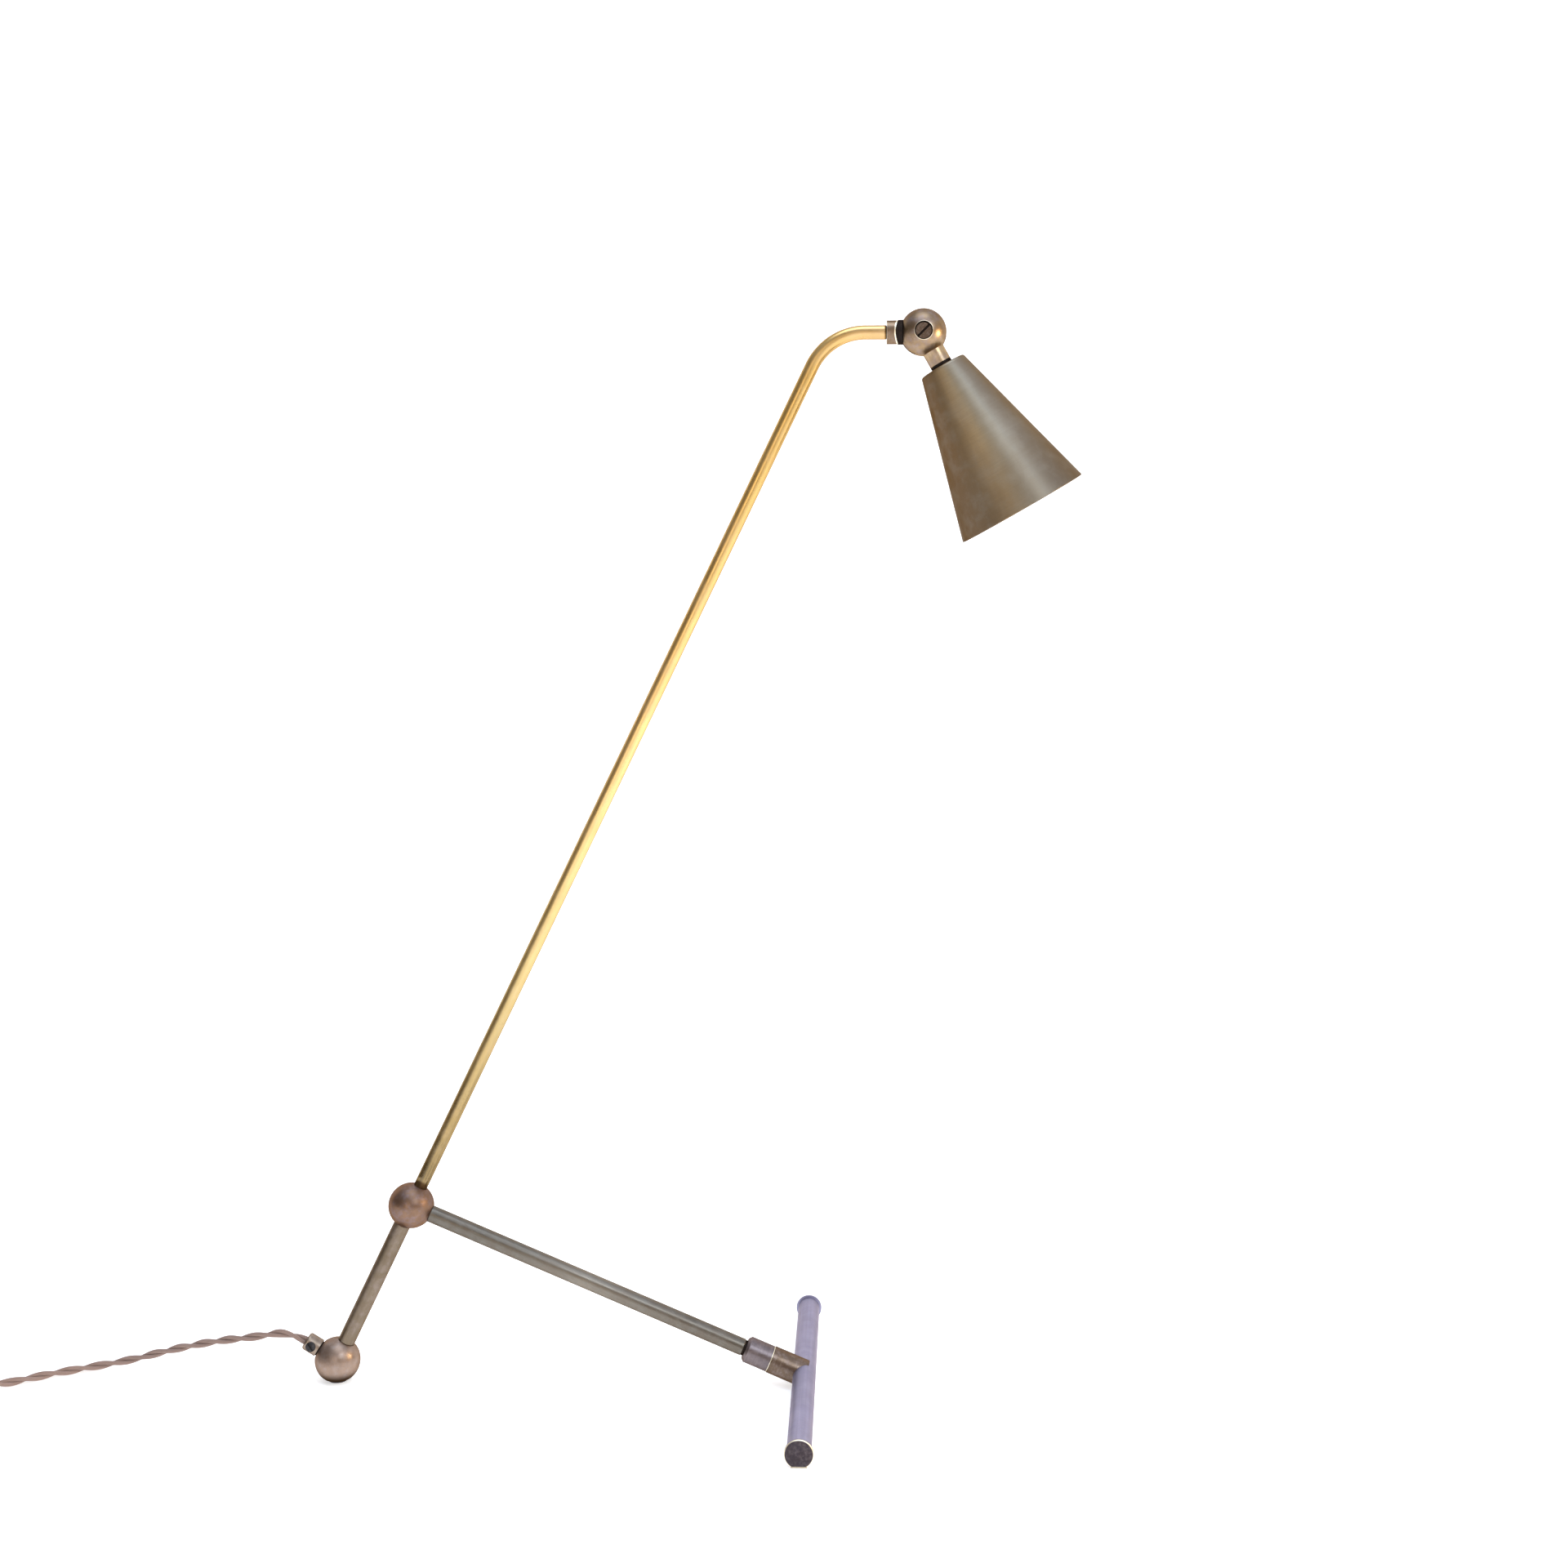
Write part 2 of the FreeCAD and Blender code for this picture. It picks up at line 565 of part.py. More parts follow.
def make_pivot_screw():
    head_face = SINK_FLOOR + SCREW_HEAD_T
    body = rod(PIVOT - PIVOT_AXIS * SINK_FLOOR, -PIVOT_AXIS, SCREW_HEAD_D / 2, SCREW_HEAD_T)
    body = body.fuse(rod(PIVOT - PIVOT_AXIS * SINK_FLOOR, PIVOT_AXIS, SCREW_D / 2, SINK_FLOOR + SCREW_END))
    slot = Part.makeBox(BALL_D, SLOT_DEPTH, SLOT_W, V(-BALL_R, 0, -SLOT_W / 2))
    lean = FreeCAD.Rotation(V(0, 1, 0), -SCREW_TURN_DEG)
    slot.Placement = FreeCAD.Placement(PIVOT - PIVOT_AXIS * head_face, TWIST.multiply(lean))
    return body.cut(slot)


def on_shade(distance):
    return SHADE_TOP + DOWN_SHADE * distance


def make_neck_ring():
    return ring(on_shade(-NECK_RING_T), DOWN_SHADE, NECK_D / 2, STUD_D / 2, NECK_RING_T)


def make_shade():
    """Spun cone with a rounded shoulder and a closed top."""
    slope = (SHADE_MOUTH_D - SHADE_TOP_D) / 2 / SHADE_L
    tilt = math.atan(slope)
    wall = SHADE_T / math.cos(tilt)
    top_r = SHADE_TOP_D / 2
    mouth_r = SHADE_MOUTH_D / 2
    half = (math.pi / 2 - tilt) / 2
    reach = SHADE_ROUND * math.tan(half)
    centre = (top_r - reach, SHADE_ROUND)
    half_way = math.pi / 2 - half
    middle = (centre[0] + SHADE_ROUND * math.cos(half_way), centre[1] - SHADE_ROUND * math.sin(half_way))
    after = (top_r + reach * math.sin(tilt), reach * math.cos(tilt))
    profile = [(STUD_D / 2, 0), (top_r - reach, 0), (middle, after), (mouth_r, SHADE_L),
               (mouth_r - wall, SHADE_L), (top_r + slope * SHADE_T - wall, SHADE_T), (STUD_D / 2, SHADE_T)]
    return turned(profile, SHADE_TOP, DOWN_SHADE)


NUT_FACE = SHADE_T
CAP_FACE = NUT_FACE + NUT_T
SLEEVE_FACE = CAP_FACE + HOLDER_CAP_L
CORE_FACE = CAP_FACE + CORE_TOP
SHELL_FACE = CORE_FACE + CORE_L
CONTACT_FACE = SHELL_FACE
BASE_FACE = CONTACT_FACE + CONTACT_T + BULB_TIP_L
GLASS_FACE = BASE_FACE + BULB_BASE_L
NIPPLE_END = CAP_FACE + HOLDER_WALL + NIPPLE_SHOW


def make_shade_nipple():
    length = SHADE_AT - NECK_BOTTOM + NIPPLE_END
    return ring(PIVOT + DOWN_SHADE * NECK_BOTTOM, DOWN_SHADE, STUD_R, WIRE_HOLE_R, length)


def make_shade_nut():
    points = []
    across = DOWN_SHADE.cross(PIVOT_AXIS)
    corner_r = NUT_AF / math.sqrt(3)
    for k in range(7):
        turn = math.radians(60 * k)
        out = across * (corner_r * math.cos(turn)) + PIVOT_AXIS * (corner_r * math.sin(turn))
        points.append(on_shade(NUT_FACE) + out)
    body = Part.Face(Part.makePolygon(points)).extrude(DOWN_SHADE * NUT_T)
    return body.cut(rod(on_shade(NUT_FACE), DOWN_SHADE, STUD_D / 2, NUT_T))


def make_holder_cap():
    outer = HOLDER_D / 2
    inner = outer - HOLDER_WALL
    profile = [(STUD_D / 2, 0), (outer - HOLDER_WALL, 0), (outer, HOLDER_WALL), (outer, HOLDER_CAP_L),
               (inner, HOLDER_CAP_L), (inner, HOLDER_WALL), (STUD_D / 2, HOLDER_WALL)]
    return turned(profile, on_shade(CAP_FACE), DOWN_SHADE)


def make_holder_sleeve():
    outer = HOLDER_D / 2
    return ring(on_shade(SLEEVE_FACE), DOWN_SHADE, outer, outer - HOLDER_WALL, HOLDER_SLEEVE_L)


def make_holder_core():
    """Insulating core that carries the contact and the threaded shell."""
    radius = HOLDER_D / 2 - HOLDER_WALL - HOLDER_CLEAR
    return ring(on_shade(CORE_FACE), DOWN_SHADE, radius, WIRE_HOLE_R / 2, CORE_L)


def make_threaded_shell():
    return ring(on_shade(SHELL_FACE), DOWN_SHADE, SHELL_D / 2, SHELL_D / 2 - SHELL_T, SHELL_L)


def make_centre_contact():
    return rod(on_shade(CONTACT_FACE), DOWN_SHADE, CONTACT_D / 2, CONTACT_T)


def make_bulb_base():
    body = rod(on_shade(BASE_FACE), DOWN_SHADE, BULB_BASE_D / 2, BULB_BASE_L)
    return body.fuse(rod(on_shade(BASE_FACE - BULB_TIP_L), DOWN_SHADE, CONTACT_D / 2, BULB_TIP_L))


def make_bulb_glass():
    """A small round-ended bulb: a neck that swells into a ball."""
    radius = BULB_D / 2
    neck = BULB_BASE_D / 2 - THREAD_CLEAR
    middle = BULB_GLASS_L - radius
    tip = math.radians(BULB_JOIN_DEG)
    join = (radius * math.cos(tip), middle - radius * math.sin(tip))
    profile = [(0, 0), (neck, 0), join,
               ((radius, middle), (radius * math.cos(tip), middle + radius * math.sin(tip))),
               ((radius * math.sin(tip / 2), middle + radius * math.cos(tip / 2)), (0, BULB_GLASS_L))]
    return turned(profile, on_shade(GLASS_FACE), DOWN_SHADE)


def make_head_leads():
    start = PIVOT + DOWN_SHADE * (SLOT_FLOOR + WIRE_ROOM)
    return rod(start, DOWN_SHADE, WIRE_D / 2, SHADE_AT + CORE_FACE - SLOT_FLOOR - WIRE_ROOM)


# ---------------------------------------------------------------- cord, switch, coil and plug
def cord_part(name, points):
    path, radii = smooth_path(points)
    body = swept(path, CORD_D / 2)
    expected = math.pi * (CORD_D / 2) ** 2 * path.Length
    print(name, "length %.1f" % path.Length, "radii", " ".join("%.0f" % r for r in radii),
          "volume ratio %.4f" % (body.Volume / expected))
    return body


def make_power_cord():
    seat_point = FOOT + TO_GRIP * CORD_SEAT
    first_turn = FOOT + TO_GRIP * (CORD_SEAT + FIRST_RUN)
    return cord_part("power_cord", [tuple(seat_point), tuple(first_turn)] + TO_SWITCH)


def make_power_cord_tail():
    return cord_part("power_cord_tail", TO_COIL)


def make_plug_lead():
    return cord_part("plug_lead", TO_PLUG)


def coil_section(grow):
    """Outline of the coil's section as (radius, height), grown outwards by an even margin."""
    low = COIL_Z + COIL_LOW_H
    top = COIL_Z + COIL_H
    return [(COIL_R_IN - grow, COIL_Z - grow), (COIL_R_OUT + grow, COIL_Z - grow), (COIL_R_OUT + grow, low),
            (COIL_TOP_R_OUT + grow, top + grow), (COIL_TOP_R_IN - grow, top + grow), (COIL_R_IN - grow, low)]


def make_cord_coil():
    return turned(coil_section(0), V(COIL_AT[0], COIL_AT[1], 0), V(0, 0, 1))


def make_coil_tie():
    """A strap round the coil's section at one place."""
    turn = math.radians(TIE_AT_DEG)
    out = V(math.cos(turn), math.sin(turn), 0)
    along = V(-math.sin(turn), math.cos(turn), 0)
    start = V(COIL_AT[0], COIL_AT[1], 0) - along * (TIE_W / 2)
    bands = []
    for grow in (TIE_CLEAR + TIE_T, TIE_CLEAR):
        points = [start + out * r + V(0, 0, z) for r, z in coil_section(grow)]
        bands.append(Part.Face(Part.makePolygon(points + points[:1])).extrude(along * TIE_W))
    return bands[0].cut(bands[1]).cut(make_cord_coil())


def in_switch(shape):
    """Moves a shape from the switch's own frame, X along the cord and Z up, to its place."""
    start, end = V(*TO_SWITCH[-1]), V(*TO_COIL[0])
    along = end - start
    turn = math.degrees(math.atan2(along.y, along.x))
    middle = (start + end) * 0.5
    move = FreeCAD.Placement(V(middle.x, middle.y, 0), FreeCAD.Rotation(V(0, 0, 1), turn))
    shape.Placement = move.multiply(shape.Placement)
    return shape


def switch_case():
    """Outer shape of the switch: a long pill with soft edges."""
    straight = SWITCH_L - SWITCH_W
    body = Part.makeBox(straight, SWITCH_W, SWITCH_H, V(-straight / 2, -SWITCH_W / 2, 0))
    for side in (-1, 1):
        body = body.fuse(rod(V(side * straight / 2, 0, 0), V(0, 0, 1), SWITCH_W / 2, SWITCH_H))
    body = body.removeSplitter()
    rims = [edge for edge in body.Edges if abs(edge.BoundBox.ZLength) < 1e-6]
    return body.makeFillet(SWITCH_ROUND, rims)


def switch_hollow():
    """The rocker's well, open at the top, and the cord's way through the case."""
    bore = rod(V(-SWITCH_L, 0, SWITCH_H / 2), ALONG, SWITCH_BORE_D / 2, 2 * SWITCH_L)
    well_l = ROCKER_L + 2 * ROCKER_GAP
    well_w = ROCKER_W + 2 * ROCKER_GAP
    well = Part.makeBox(well_l, well_w, SWITCH_H, V(-well_l / 2, -well_w / 2, SWITCH_WALL))
    return bore.fuse(well)


def case_screws(radius, depth):
    """A screw at each end of the case, from its top down."""
    return [rod(V(side * CASE_SCREW_AT, 0, SWITCH_H - depth), V(0, 0, 1), radius, depth) for side in (-1, 1)]


def make_switch_base():
    lower = Part.makeBox(SWITCH_L, SWITCH_W, SWITCH_H / 2, V(-SWITCH_L / 2, -SWITCH_W / 2, 0))
    return in_switch(switch_case().common(lower).cut(switch_hollow()))


def make_switch_cover():
    upper = Part.makeBox(SWITCH_L, SWITCH_W, SWITCH_H / 2, V(-SWITCH_L / 2, -SWITCH_W / 2, SWITCH_H / 2))
    body = switch_case().common(upper).cut(switch_hollow())
    for hole in case_screws(CASE_SCREW_D / 2, CASE_SCREW_T):
        body = body.cut(hole)
    return in_switch(body)


def make_switch_screws():
    return in_switch(Part.makeCompound(case_screws(CASE_SCREW_D / 2, CASE_SCREW_T)))


def rocker_axis_z():
    return SWITCH_H - ROCKER_AXLE_DROP


def make_rocker_pins():
    """Two short pins in the cover on which the rocker turns."""
    made = []
    for side in (-1, 1):
        start = V(0, side * (ROCKER_W / 2 + ROCKER_GAP), rocker_axis_z())
        made.append(rod(start, V(0, -side, 0), ROCKER_AXLE_D / 2 - RUN_CLEAR, 2 * ROCKER_GAP))
    return in_switch(Part.makeCompound(made))


def make_switch_contacts():
    """A spring strip on the well's floor at each side, under the rocker's ends."""
    made = []
    for side in (-1, 1):
        middle = side * (ROCKER_L - CONTACT_STRIP_L) / 2
        corner = V(middle - CONTACT_STRIP_L / 2, -CONTACT_STRIP_W / 2, SWITCH_WALL)
        made.append(Part.makeBox(CONTACT_STRIP_L, CONTACT_STRIP_W, CONTACT_STRIP_T, corner))
    return in_switch(Part.makeCompound(made))


def make_switch_rocker():
    """A block with two sloping faces, tilted to one of its two positions."""
    half = ROCKER_L / 2 - ROCKER_GAP
    top = ROCKER_AXLE_DROP + ROCKER_PROUD
    rise = half * math.tan(math.radians(ROCKER_TILT_DEG))
    low = top - ROCKER_H
    outline = [V(-half, 0, top), V(0, 0, top - rise), V(half, 0, top), V(half - rise, 0, low),
               V(-half + rise, 0, low), V(-half, 0, top)]
    body = Part.Face(Part.makePolygon(outline)).extrude(V(0, ROCKER_W, 0))
    body.translate(V(0, -ROCKER_W / 2, 0))
    body = body.cut(rod(V(0, -ROCKER_W, 0), V(0, 1, 0), ROCKER_AXLE_D / 2, 2 * ROCKER_W))
    body.rotate(V(0, 0, 0), V(0, 1, 0), ROCKER_TILT_DEG)
    body.translate(V(0, 0, rocker_axis_z()))
    return in_switch(body)


PLUG_WAY = V(0, 1, 0)


def make_plug_body():
    """Round plug lying on its side, with a narrower neck where the cord goes in."""
    radius = PLUG_D / 2
    nose = PLUG_NOSE_D / 2
    shoulder = PLUG_L - PLUG_SHEET_T
    profile = [(0, 0), (nose, 0), (nose, PLUG_NOSE_L), (radius - PLUG_CONE_L, PLUG_NOSE_L + PLUG_CONE_L),
               (radius, PLUG_NOSE_L + PLUG_SLOPE_L), (radius, shoulder), (0, shoulder)]
    return turned(profile, V(*TO_PLUG[-1]), PLUG_WAY)


def plug_pins(extra):
    """The two flat blades, side by side, through the face plate."""
    back = V(*TO_PLUG[-1])
    made = []
    for side in (-1, 1):
        corner = V(side * BLADE_GAP / 2 - PIN_T / 2 - extra, PLUG_L - PLUG_SHEET_T, -PIN_W / 2 - extra)
        made.append(Part.makeBox(PIN_T + 2 * extra, PIN_L + PLUG_SHEET_T, PIN_W + 2 * extra, back + corner))
    return made


def make_plug_face():
    body = rod(V(*TO_PLUG[-1]) + PLUG_WAY * (PLUG_L - PLUG_SHEET_T), PLUG_WAY, PLUG_D / 2, PLUG_SHEET_T)
    for pin in plug_pins(THREAD_CLEAR):
        body = body.cut(pin)
    return body


def make_plug_blades():
    return Part.makeCompound(plug_pins(0))


# ---------------------------------------------------------------- all parts
PARTS = {
    "foot_ball": make_foot_ball, "foot_pad": make_foot_pad, "lower_tube": make_lower_tube,
    "foot_nipple": make_foot_nipple, "hub_lower_nipple": make_hub_lower_nipple, "hub_ball": make_hub_ball,
    "arm_nipple": make_arm_nipple, "arm_tube": make_arm_tube, "arm_leads": make_arm_leads,
    "leg_tube": make_leg_tube, "leg_hub_stud": make_leg_hub_stud, "leg_foot_stud": make_leg_foot_stud,
    "lock_washer": make_lock_washer, "lock_collar": make_lock_collar, "tee_stub": make_tee_stub,
    "crossbar": make_crossbar, "end_cap_front": lambda: make_end_cap(-1), "end_cap_rear": lambda: make_end_cap(1),
    "felt_strip": make_felt_strip, "grip_washer": make_grip_washer, "cord_grip": make_cord_grip,
    "grip_screw": make_grip_screw, "swivel_post": make_swivel_post, "swivel_washer": make_swivel_washer,
    "swivel_nut": make_swivel_nut, "swivel_collar": make_swivel_collar, "knuckle_tongue": make_knuckle_tongue,
    "knuckle_ball": make_knuckle_ball, "friction_washers": make_friction_washers,
    "pivot_screw": make_pivot_screw, "neck_ring": make_neck_ring, "shade": make_shade,
    "shade_nipple": make_shade_nipple, "shade_nut": make_shade_nut, "holder_cap": make_holder_cap,
    "holder_sleeve": make_holder_sleeve, "holder_core": make_holder_core,
    "threaded_shell": make_threaded_shell, "centre_contact": make_centre_contact,
    "bulb_base": make_bulb_base, "bulb_glass": make_bulb_glass, "head_leads": make_head_leads,
    "power_cord": make_power_cord, "switch_base": make_switch_base, "switch_cover": make_switch_cover,
    "switch_screws": make_switch_screws, "switch_contacts": make_switch_contacts,
    "rocker_pins": make_rocker_pins, "switch_rocker": make_switch_rocker,
    "power_cord_tail": make_power_cord_tail, "cord_coil": make_cord_coil, "coil_tie": make_coil_tie,
    "plug_lead": make_plug_lead, "plug_body": make_plug_body, "plug_face": make_plug_face,
    "plug_blades": make_plug_blades,
}


def main():
    os.makedirs("parts", exist_ok=True)
    for name, make in PARTS.items():
        shape = make()
        if not shape.isValid() or not shape.Solids:
            raise RuntimeError("bad shape: " + name)
        shape.exportStep(os.path.join("parts", name + ".step"))
    print("hub", HUB, "foot", FOOT, "pivot", PIVOT)
    print("shade way", DOWN_SHADE, "pivot axis", PIVOT_AXIS)


main()
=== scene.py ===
"""Finishes, cord and small parts of a brass table lamp, round its packed frame.  Metres, +Z up."""
import math

import bmesh
import bpy
import numpy as np
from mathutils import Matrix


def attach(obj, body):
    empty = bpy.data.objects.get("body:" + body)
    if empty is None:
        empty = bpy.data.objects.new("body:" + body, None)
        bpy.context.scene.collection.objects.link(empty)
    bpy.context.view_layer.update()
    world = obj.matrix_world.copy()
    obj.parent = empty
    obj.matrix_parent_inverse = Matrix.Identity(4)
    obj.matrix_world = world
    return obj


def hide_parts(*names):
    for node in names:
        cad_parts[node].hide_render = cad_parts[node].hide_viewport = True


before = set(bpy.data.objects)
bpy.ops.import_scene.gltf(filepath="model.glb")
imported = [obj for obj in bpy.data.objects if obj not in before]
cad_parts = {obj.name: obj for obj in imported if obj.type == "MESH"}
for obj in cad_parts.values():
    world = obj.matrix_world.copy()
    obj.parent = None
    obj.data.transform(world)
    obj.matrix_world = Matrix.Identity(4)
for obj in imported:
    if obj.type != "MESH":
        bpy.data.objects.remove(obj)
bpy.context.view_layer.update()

bl_info = {
    "name": "Brass Table Lamp",
    "version": (1, 0, 0),
    "blender": (4, 5, 0),
    "location": "3D View > Sidebar > Lamp",
    "description": "Finishes, cord and small parts of a brass table lamp round its packed frame",
    "category": "Object",
}

# ---------------------------------------------------------------- places, in metres
MM = 0.001
FOOT = np.array([-279.994, 0.0, 12.6]) * MM
HUB = np.array([-234.294, 0.0, 107.133]) * MM
PIVOT = np.array([67.634, 0.0, 618.965]) * MM
BAR = np.array([0.0, 0.0, 7.6]) * MM
LEAN = math.radians(25.8)
TILT_AXIS = np.array([0.0, 0.999048, 0.043619])
DOWN_SHADE = np.array([0.498488, 0.037814, -0.866072])
UP_ARM = np.array([math.sin(LEAN), 0.0, math.cos(LEAN)])
GRIP_RISE = math.radians(32.0)
TO_GRIP = np.array([-math.cos(GRIP_RISE), 0.0, math.sin(GRIP_RISE)])
DOWN_LEG = (BAR - HUB) / np.linalg.norm(BAR - HUB)
ALONG_ARM_END = np.array([1.0, 0.0, 0.0])

TUBE_R = 5.0 * MM
ARM_R = 4.0 * MM
ARM_SPAN = 568.5 * MM       # hub ball centre to the corner of the arm's centre line
ARM_L = 580.0 * MM          # about its length along the centre line
ARM_BEND_R = 34.0 * MM
ARM_END_BACK = 21.3 * MM    # tilt pivot to the arm's end
SEAT_TUBE = 12.417 * MM     # ball centre to a 10 mm tube's end
SEAT_ARM = 12.797 * MM      # ball centre to the arm's end
LEG_END = 39.7 * MM         # crossbar axis to the leg's end
LOCK_TOP = 38.3 * MM        # crossbar axis to the lock collar's upper face
LOCK_L = 16.6 * MM
LOCK_R = 7.8 * MM
LOCK_BEVEL = 1.6 * MM
LOCK_BORE_R = 4.0 * MM
CAP_FACE = 122.0 * MM       # crossbar's middle to an end cap's face
SHADE_AT = 22.2 * MM        # tilt pivot to the shade's top
SHADE_L = 93.5 * MM
SHADE_TOP_R = 13.7 * MM
SHADE_MOUTH_R = 39.05 * MM
SHADE_BORE_R = 4.0 * MM
GLASS_AT = 42.4 * MM        # shade's top to the bulb's glass
GLASS_L = 34.0 * MM
GLASS_R = 11.5 * MM
GLASS_JOIN = math.radians(50)   # from the glass ball's widest ring back to its neck
BASE_AT = 22.4 * MM         # shade's top to the bulb's base
BASE_L = 20.0 * MM
BASE_R = 5.9 * MM
THREAD_DEPTH = 0.35 * MM
THREAD_PITCH = 1.9 * MM

# the cord's route, as the frame has it
TO_SWITCH = np.array([(-292.24, 0.0, 20.25), (-307.76, 0.0, 29.95), (-330.0, 2.0, 25.2), (-356.0, 6.5, 20.8),
                      (-385.0, 12.0, 13.2), (-410.0, 15.5, 5.4), (-432.0, 11.0, 2.5), (-455.0, -3.0, 2.5),
                      (-478.0, -22.5, 2.5), (-493.0, -33.8, 8.0), (-509.0, -45.8, 8.0)]) * MM
TO_COIL = np.array([(-555.4, -80.6, 8.0), (-568.2, -90.2, 7.6), (-582.0, -102.0, 3.6),
                    (-595.3, -109.3, 3.2)]) * MM
TO_PLUG = np.array([(-648.6, -71.4, 7.7), (-647.0, -54.0, 8.6), (-646.0, -38.0, 12.0),
                    (-646.0, -22.0, 12.0)]) * MM
COIL_AT = np.array([-612.6, -74.7]) * MM
COIL_FROM_DEG = -63.5
COIL_TURNS = 7.338          # clockwise, seen from above
COIL_TURN_AT = (0.0, 4.1, 4.35, COIL_TURNS)
COIL_RADIUS = (38.7 * MM, 18.2 * MM, 20.5 * MM, 36.2 * MM)
COIL_HEIGHT = (3.2 * MM, 3.2 * MM, 7.65 * MM, 7.65 * MM)
COIL_POINTS = 16            # route points in a turn


# ---------------------------------------------------------------- what a user may change
def colour_setting(name, what, value):
    """A colour that the panel shows."""
    return bpy.props.FloatVectorProperty(name=name, description=what, default=value, subtype="COLOR", size=3,
                                         min=0.0, max=1.0)


def length_setting(name, what, value):
    """A length that the panel shows."""
    return bpy.props.FloatProperty(name=name, description=what, default=value, unit="LENGTH", min=0.0,
                                   precision=5)


def power_setting(name, what, value):
    """A lamp's power that the panel shows."""
    return bpy.props.FloatProperty(name=name, description=what, default=value, unit="POWER", min=0.0)


class LampFinishes(bpy.types.PropertyGroup):
    """Colours of the lamp's metals, cloth and plastics."""
    ball_colour: colour_setting("Balls", "Turned brass balls, darkened with age", (0.330, 0.215, 0.145))
    arm_colour: colour_setting("Arm", "Drawn brass of the long arm", (0.900, 0.610, 0.230))
    lower_colour: colour_setting("Lower tube", "Drawn brass between foot and hub", (0.205, 0.160, 0.112))
    leg_colour: colour_setting("Leg", "Drawn brass of the leg, greyer with age", (0.230, 0.205, 0.170))
    collar_colour: colour_setting("Lock collar", "Turned collar near the crossbar", (0.180, 0.150, 0.155))
    grip_colour: colour_setting("Grip and swivel", "Cord grip and swivel collar", (0.300, 0.235, 0.180))
    stub_colour: colour_setting("Stub", "Short tee stub on the crossbar", (0.175, 0.125, 0.090))
    # the crossbar's lavender colour is a painted reflection of cool light from above
    bar_colour: colour_setting("Crossbar", "Crossbar under its thin haze", (0.390, 0.385, 0.530))
    # the caps' near-black face colour is painted shade
    cap_colour: colour_setting("End caps", "Turned faces of the crossbar's caps", (0.050, 0.042, 0.052))
    shade_colour: colour_setting("Shade", "Spun and brushed shade", (0.290, 0.228, 0.150))
    screw_colour: colour_setting("Pivot screw", "Slotted screw across the ball", (0.130, 0.092, 0.066))
    cloth_colour: colour_setting("Cord cloth", "Braided cover of the cord", (0.390, 0.265, 0.220))


class LampSizes(bpy.types.PropertyGroup):
    """Sizes of the pieces that are made here."""
    cord_diameter: length_setting("Cord", "Outer diameter of the twisted pair", 5.0 * MM)
    twist_length: length_setting("Twist", "Length of one full twist of the pair", 34.0 * MM)
    shade_wall: length_setting("Shade wall", "Thickness of the spun sheet", 1.0 * MM)
    edge_round: length_setting("Edge rounding", "Rounding of turned edges", 0.4 * MM)


class LampStudio(bpy.types.PropertyGroup):
    """Floor, lights and camera."""
    floor_colour: colour_setting("Floor", "Plain pale floor and backdrop", (0.90, 0.90, 0.90))
    top_power: power_setting("Top light", "Cool soft light overhead", 21.0)
    key_power: power_setting("Key light", "Large soft light high at the right", 9.5)
    fill_power: power_setting("Fill light", "Large soft light in front", 4.5)
    warm_power: power_setting("Warm light", "Small warm light at the right", 5.0)
    lens: bpy.props.FloatProperty(name="Lens", description="Focal length", default=46.875, min=10.0,
                                  unit="CAMERA")


# ---------------------------------------------------------------- shapes
def unit(vector):
    """The vector over its length."""
    return np.asarray(vector, float) / np.linalg.norm(vector)


def square_to(way):
    """Two unit directions square to way and to each other: a fixed guess with its part along way taken off,
    and the cross product of way with it."""
    way = unit(way)
    guess = np.array([0.0, 1.0, 0.0]) if abs(way[1]) < 0.9 else np.array([1.0, 0.0, 0.0])
    side = unit(guess - way * (guess @ way))
    return side, np.cross(way, side)


def rounded(corners, steps=6):
    """A profile with rounded corners.  Each corner is (radius, distance, fillet).  A fillet is an arc tangent
    to both runs: it leaves them at fillet times the tangent of half the turn from the corner, and turns about
    a centre on the corner's bisector.  A support point stands just outside each end of an arc, to keep the
    runs flat."""
    corners = np.asarray(corners, float)
    points = []
    for k, (x, y, fillet) in enumerate(corners):
        at = np.array([x, y])
        if fillet <= 0 or k in (0, len(corners) - 1):
            points.append(at[None])
            continue
        back = unit(corners[k - 1, :2] - at)
        on = unit(corners[k + 1, :2] - at)
        half_turn = (math.pi - math.acos(np.clip(back @ on, -1, 1))) / 2
        reach = fillet * math.tan(half_turn)
        inward = unit(back + on)
        centre = at + inward * (fillet / math.cos(half_turn))
        turn = np.linspace(-half_turn, half_turn, steps)[:, None]
        across = unit(on - back)
        arc = centre + fillet * (np.sin(turn) * across - np.cos(turn) * inward)
        points += [(at + back * reach * 1.4)[None], arc, (at + on * reach * 1.4)[None]]
    return np.vstack(points)


def revolve(profile, centre, way, sides=96):
    """Rings of a profile turned about a line: centre + distance x way + radius x (cos a, sin a) on the two
    square directions, with a even round the circle.  Also gives each point's own place (radius cos a, radius
    sin a, distance), which patterns follow."""
    side, up = square_to(way)
    angle = np.linspace(0, 2 * math.pi, sides, endpoint=False)
    radius, along = np.asarray(profile, float).T[:, :, None]
    cos, sin = radius * np.cos(angle), radius * np.sin(angle)
    grid = centre + along[..., None] * unit(way) + cos[..., None] * side + sin[..., None] * up
    return grid, np.stack([cos, sin, along + 0 * cos], -1)


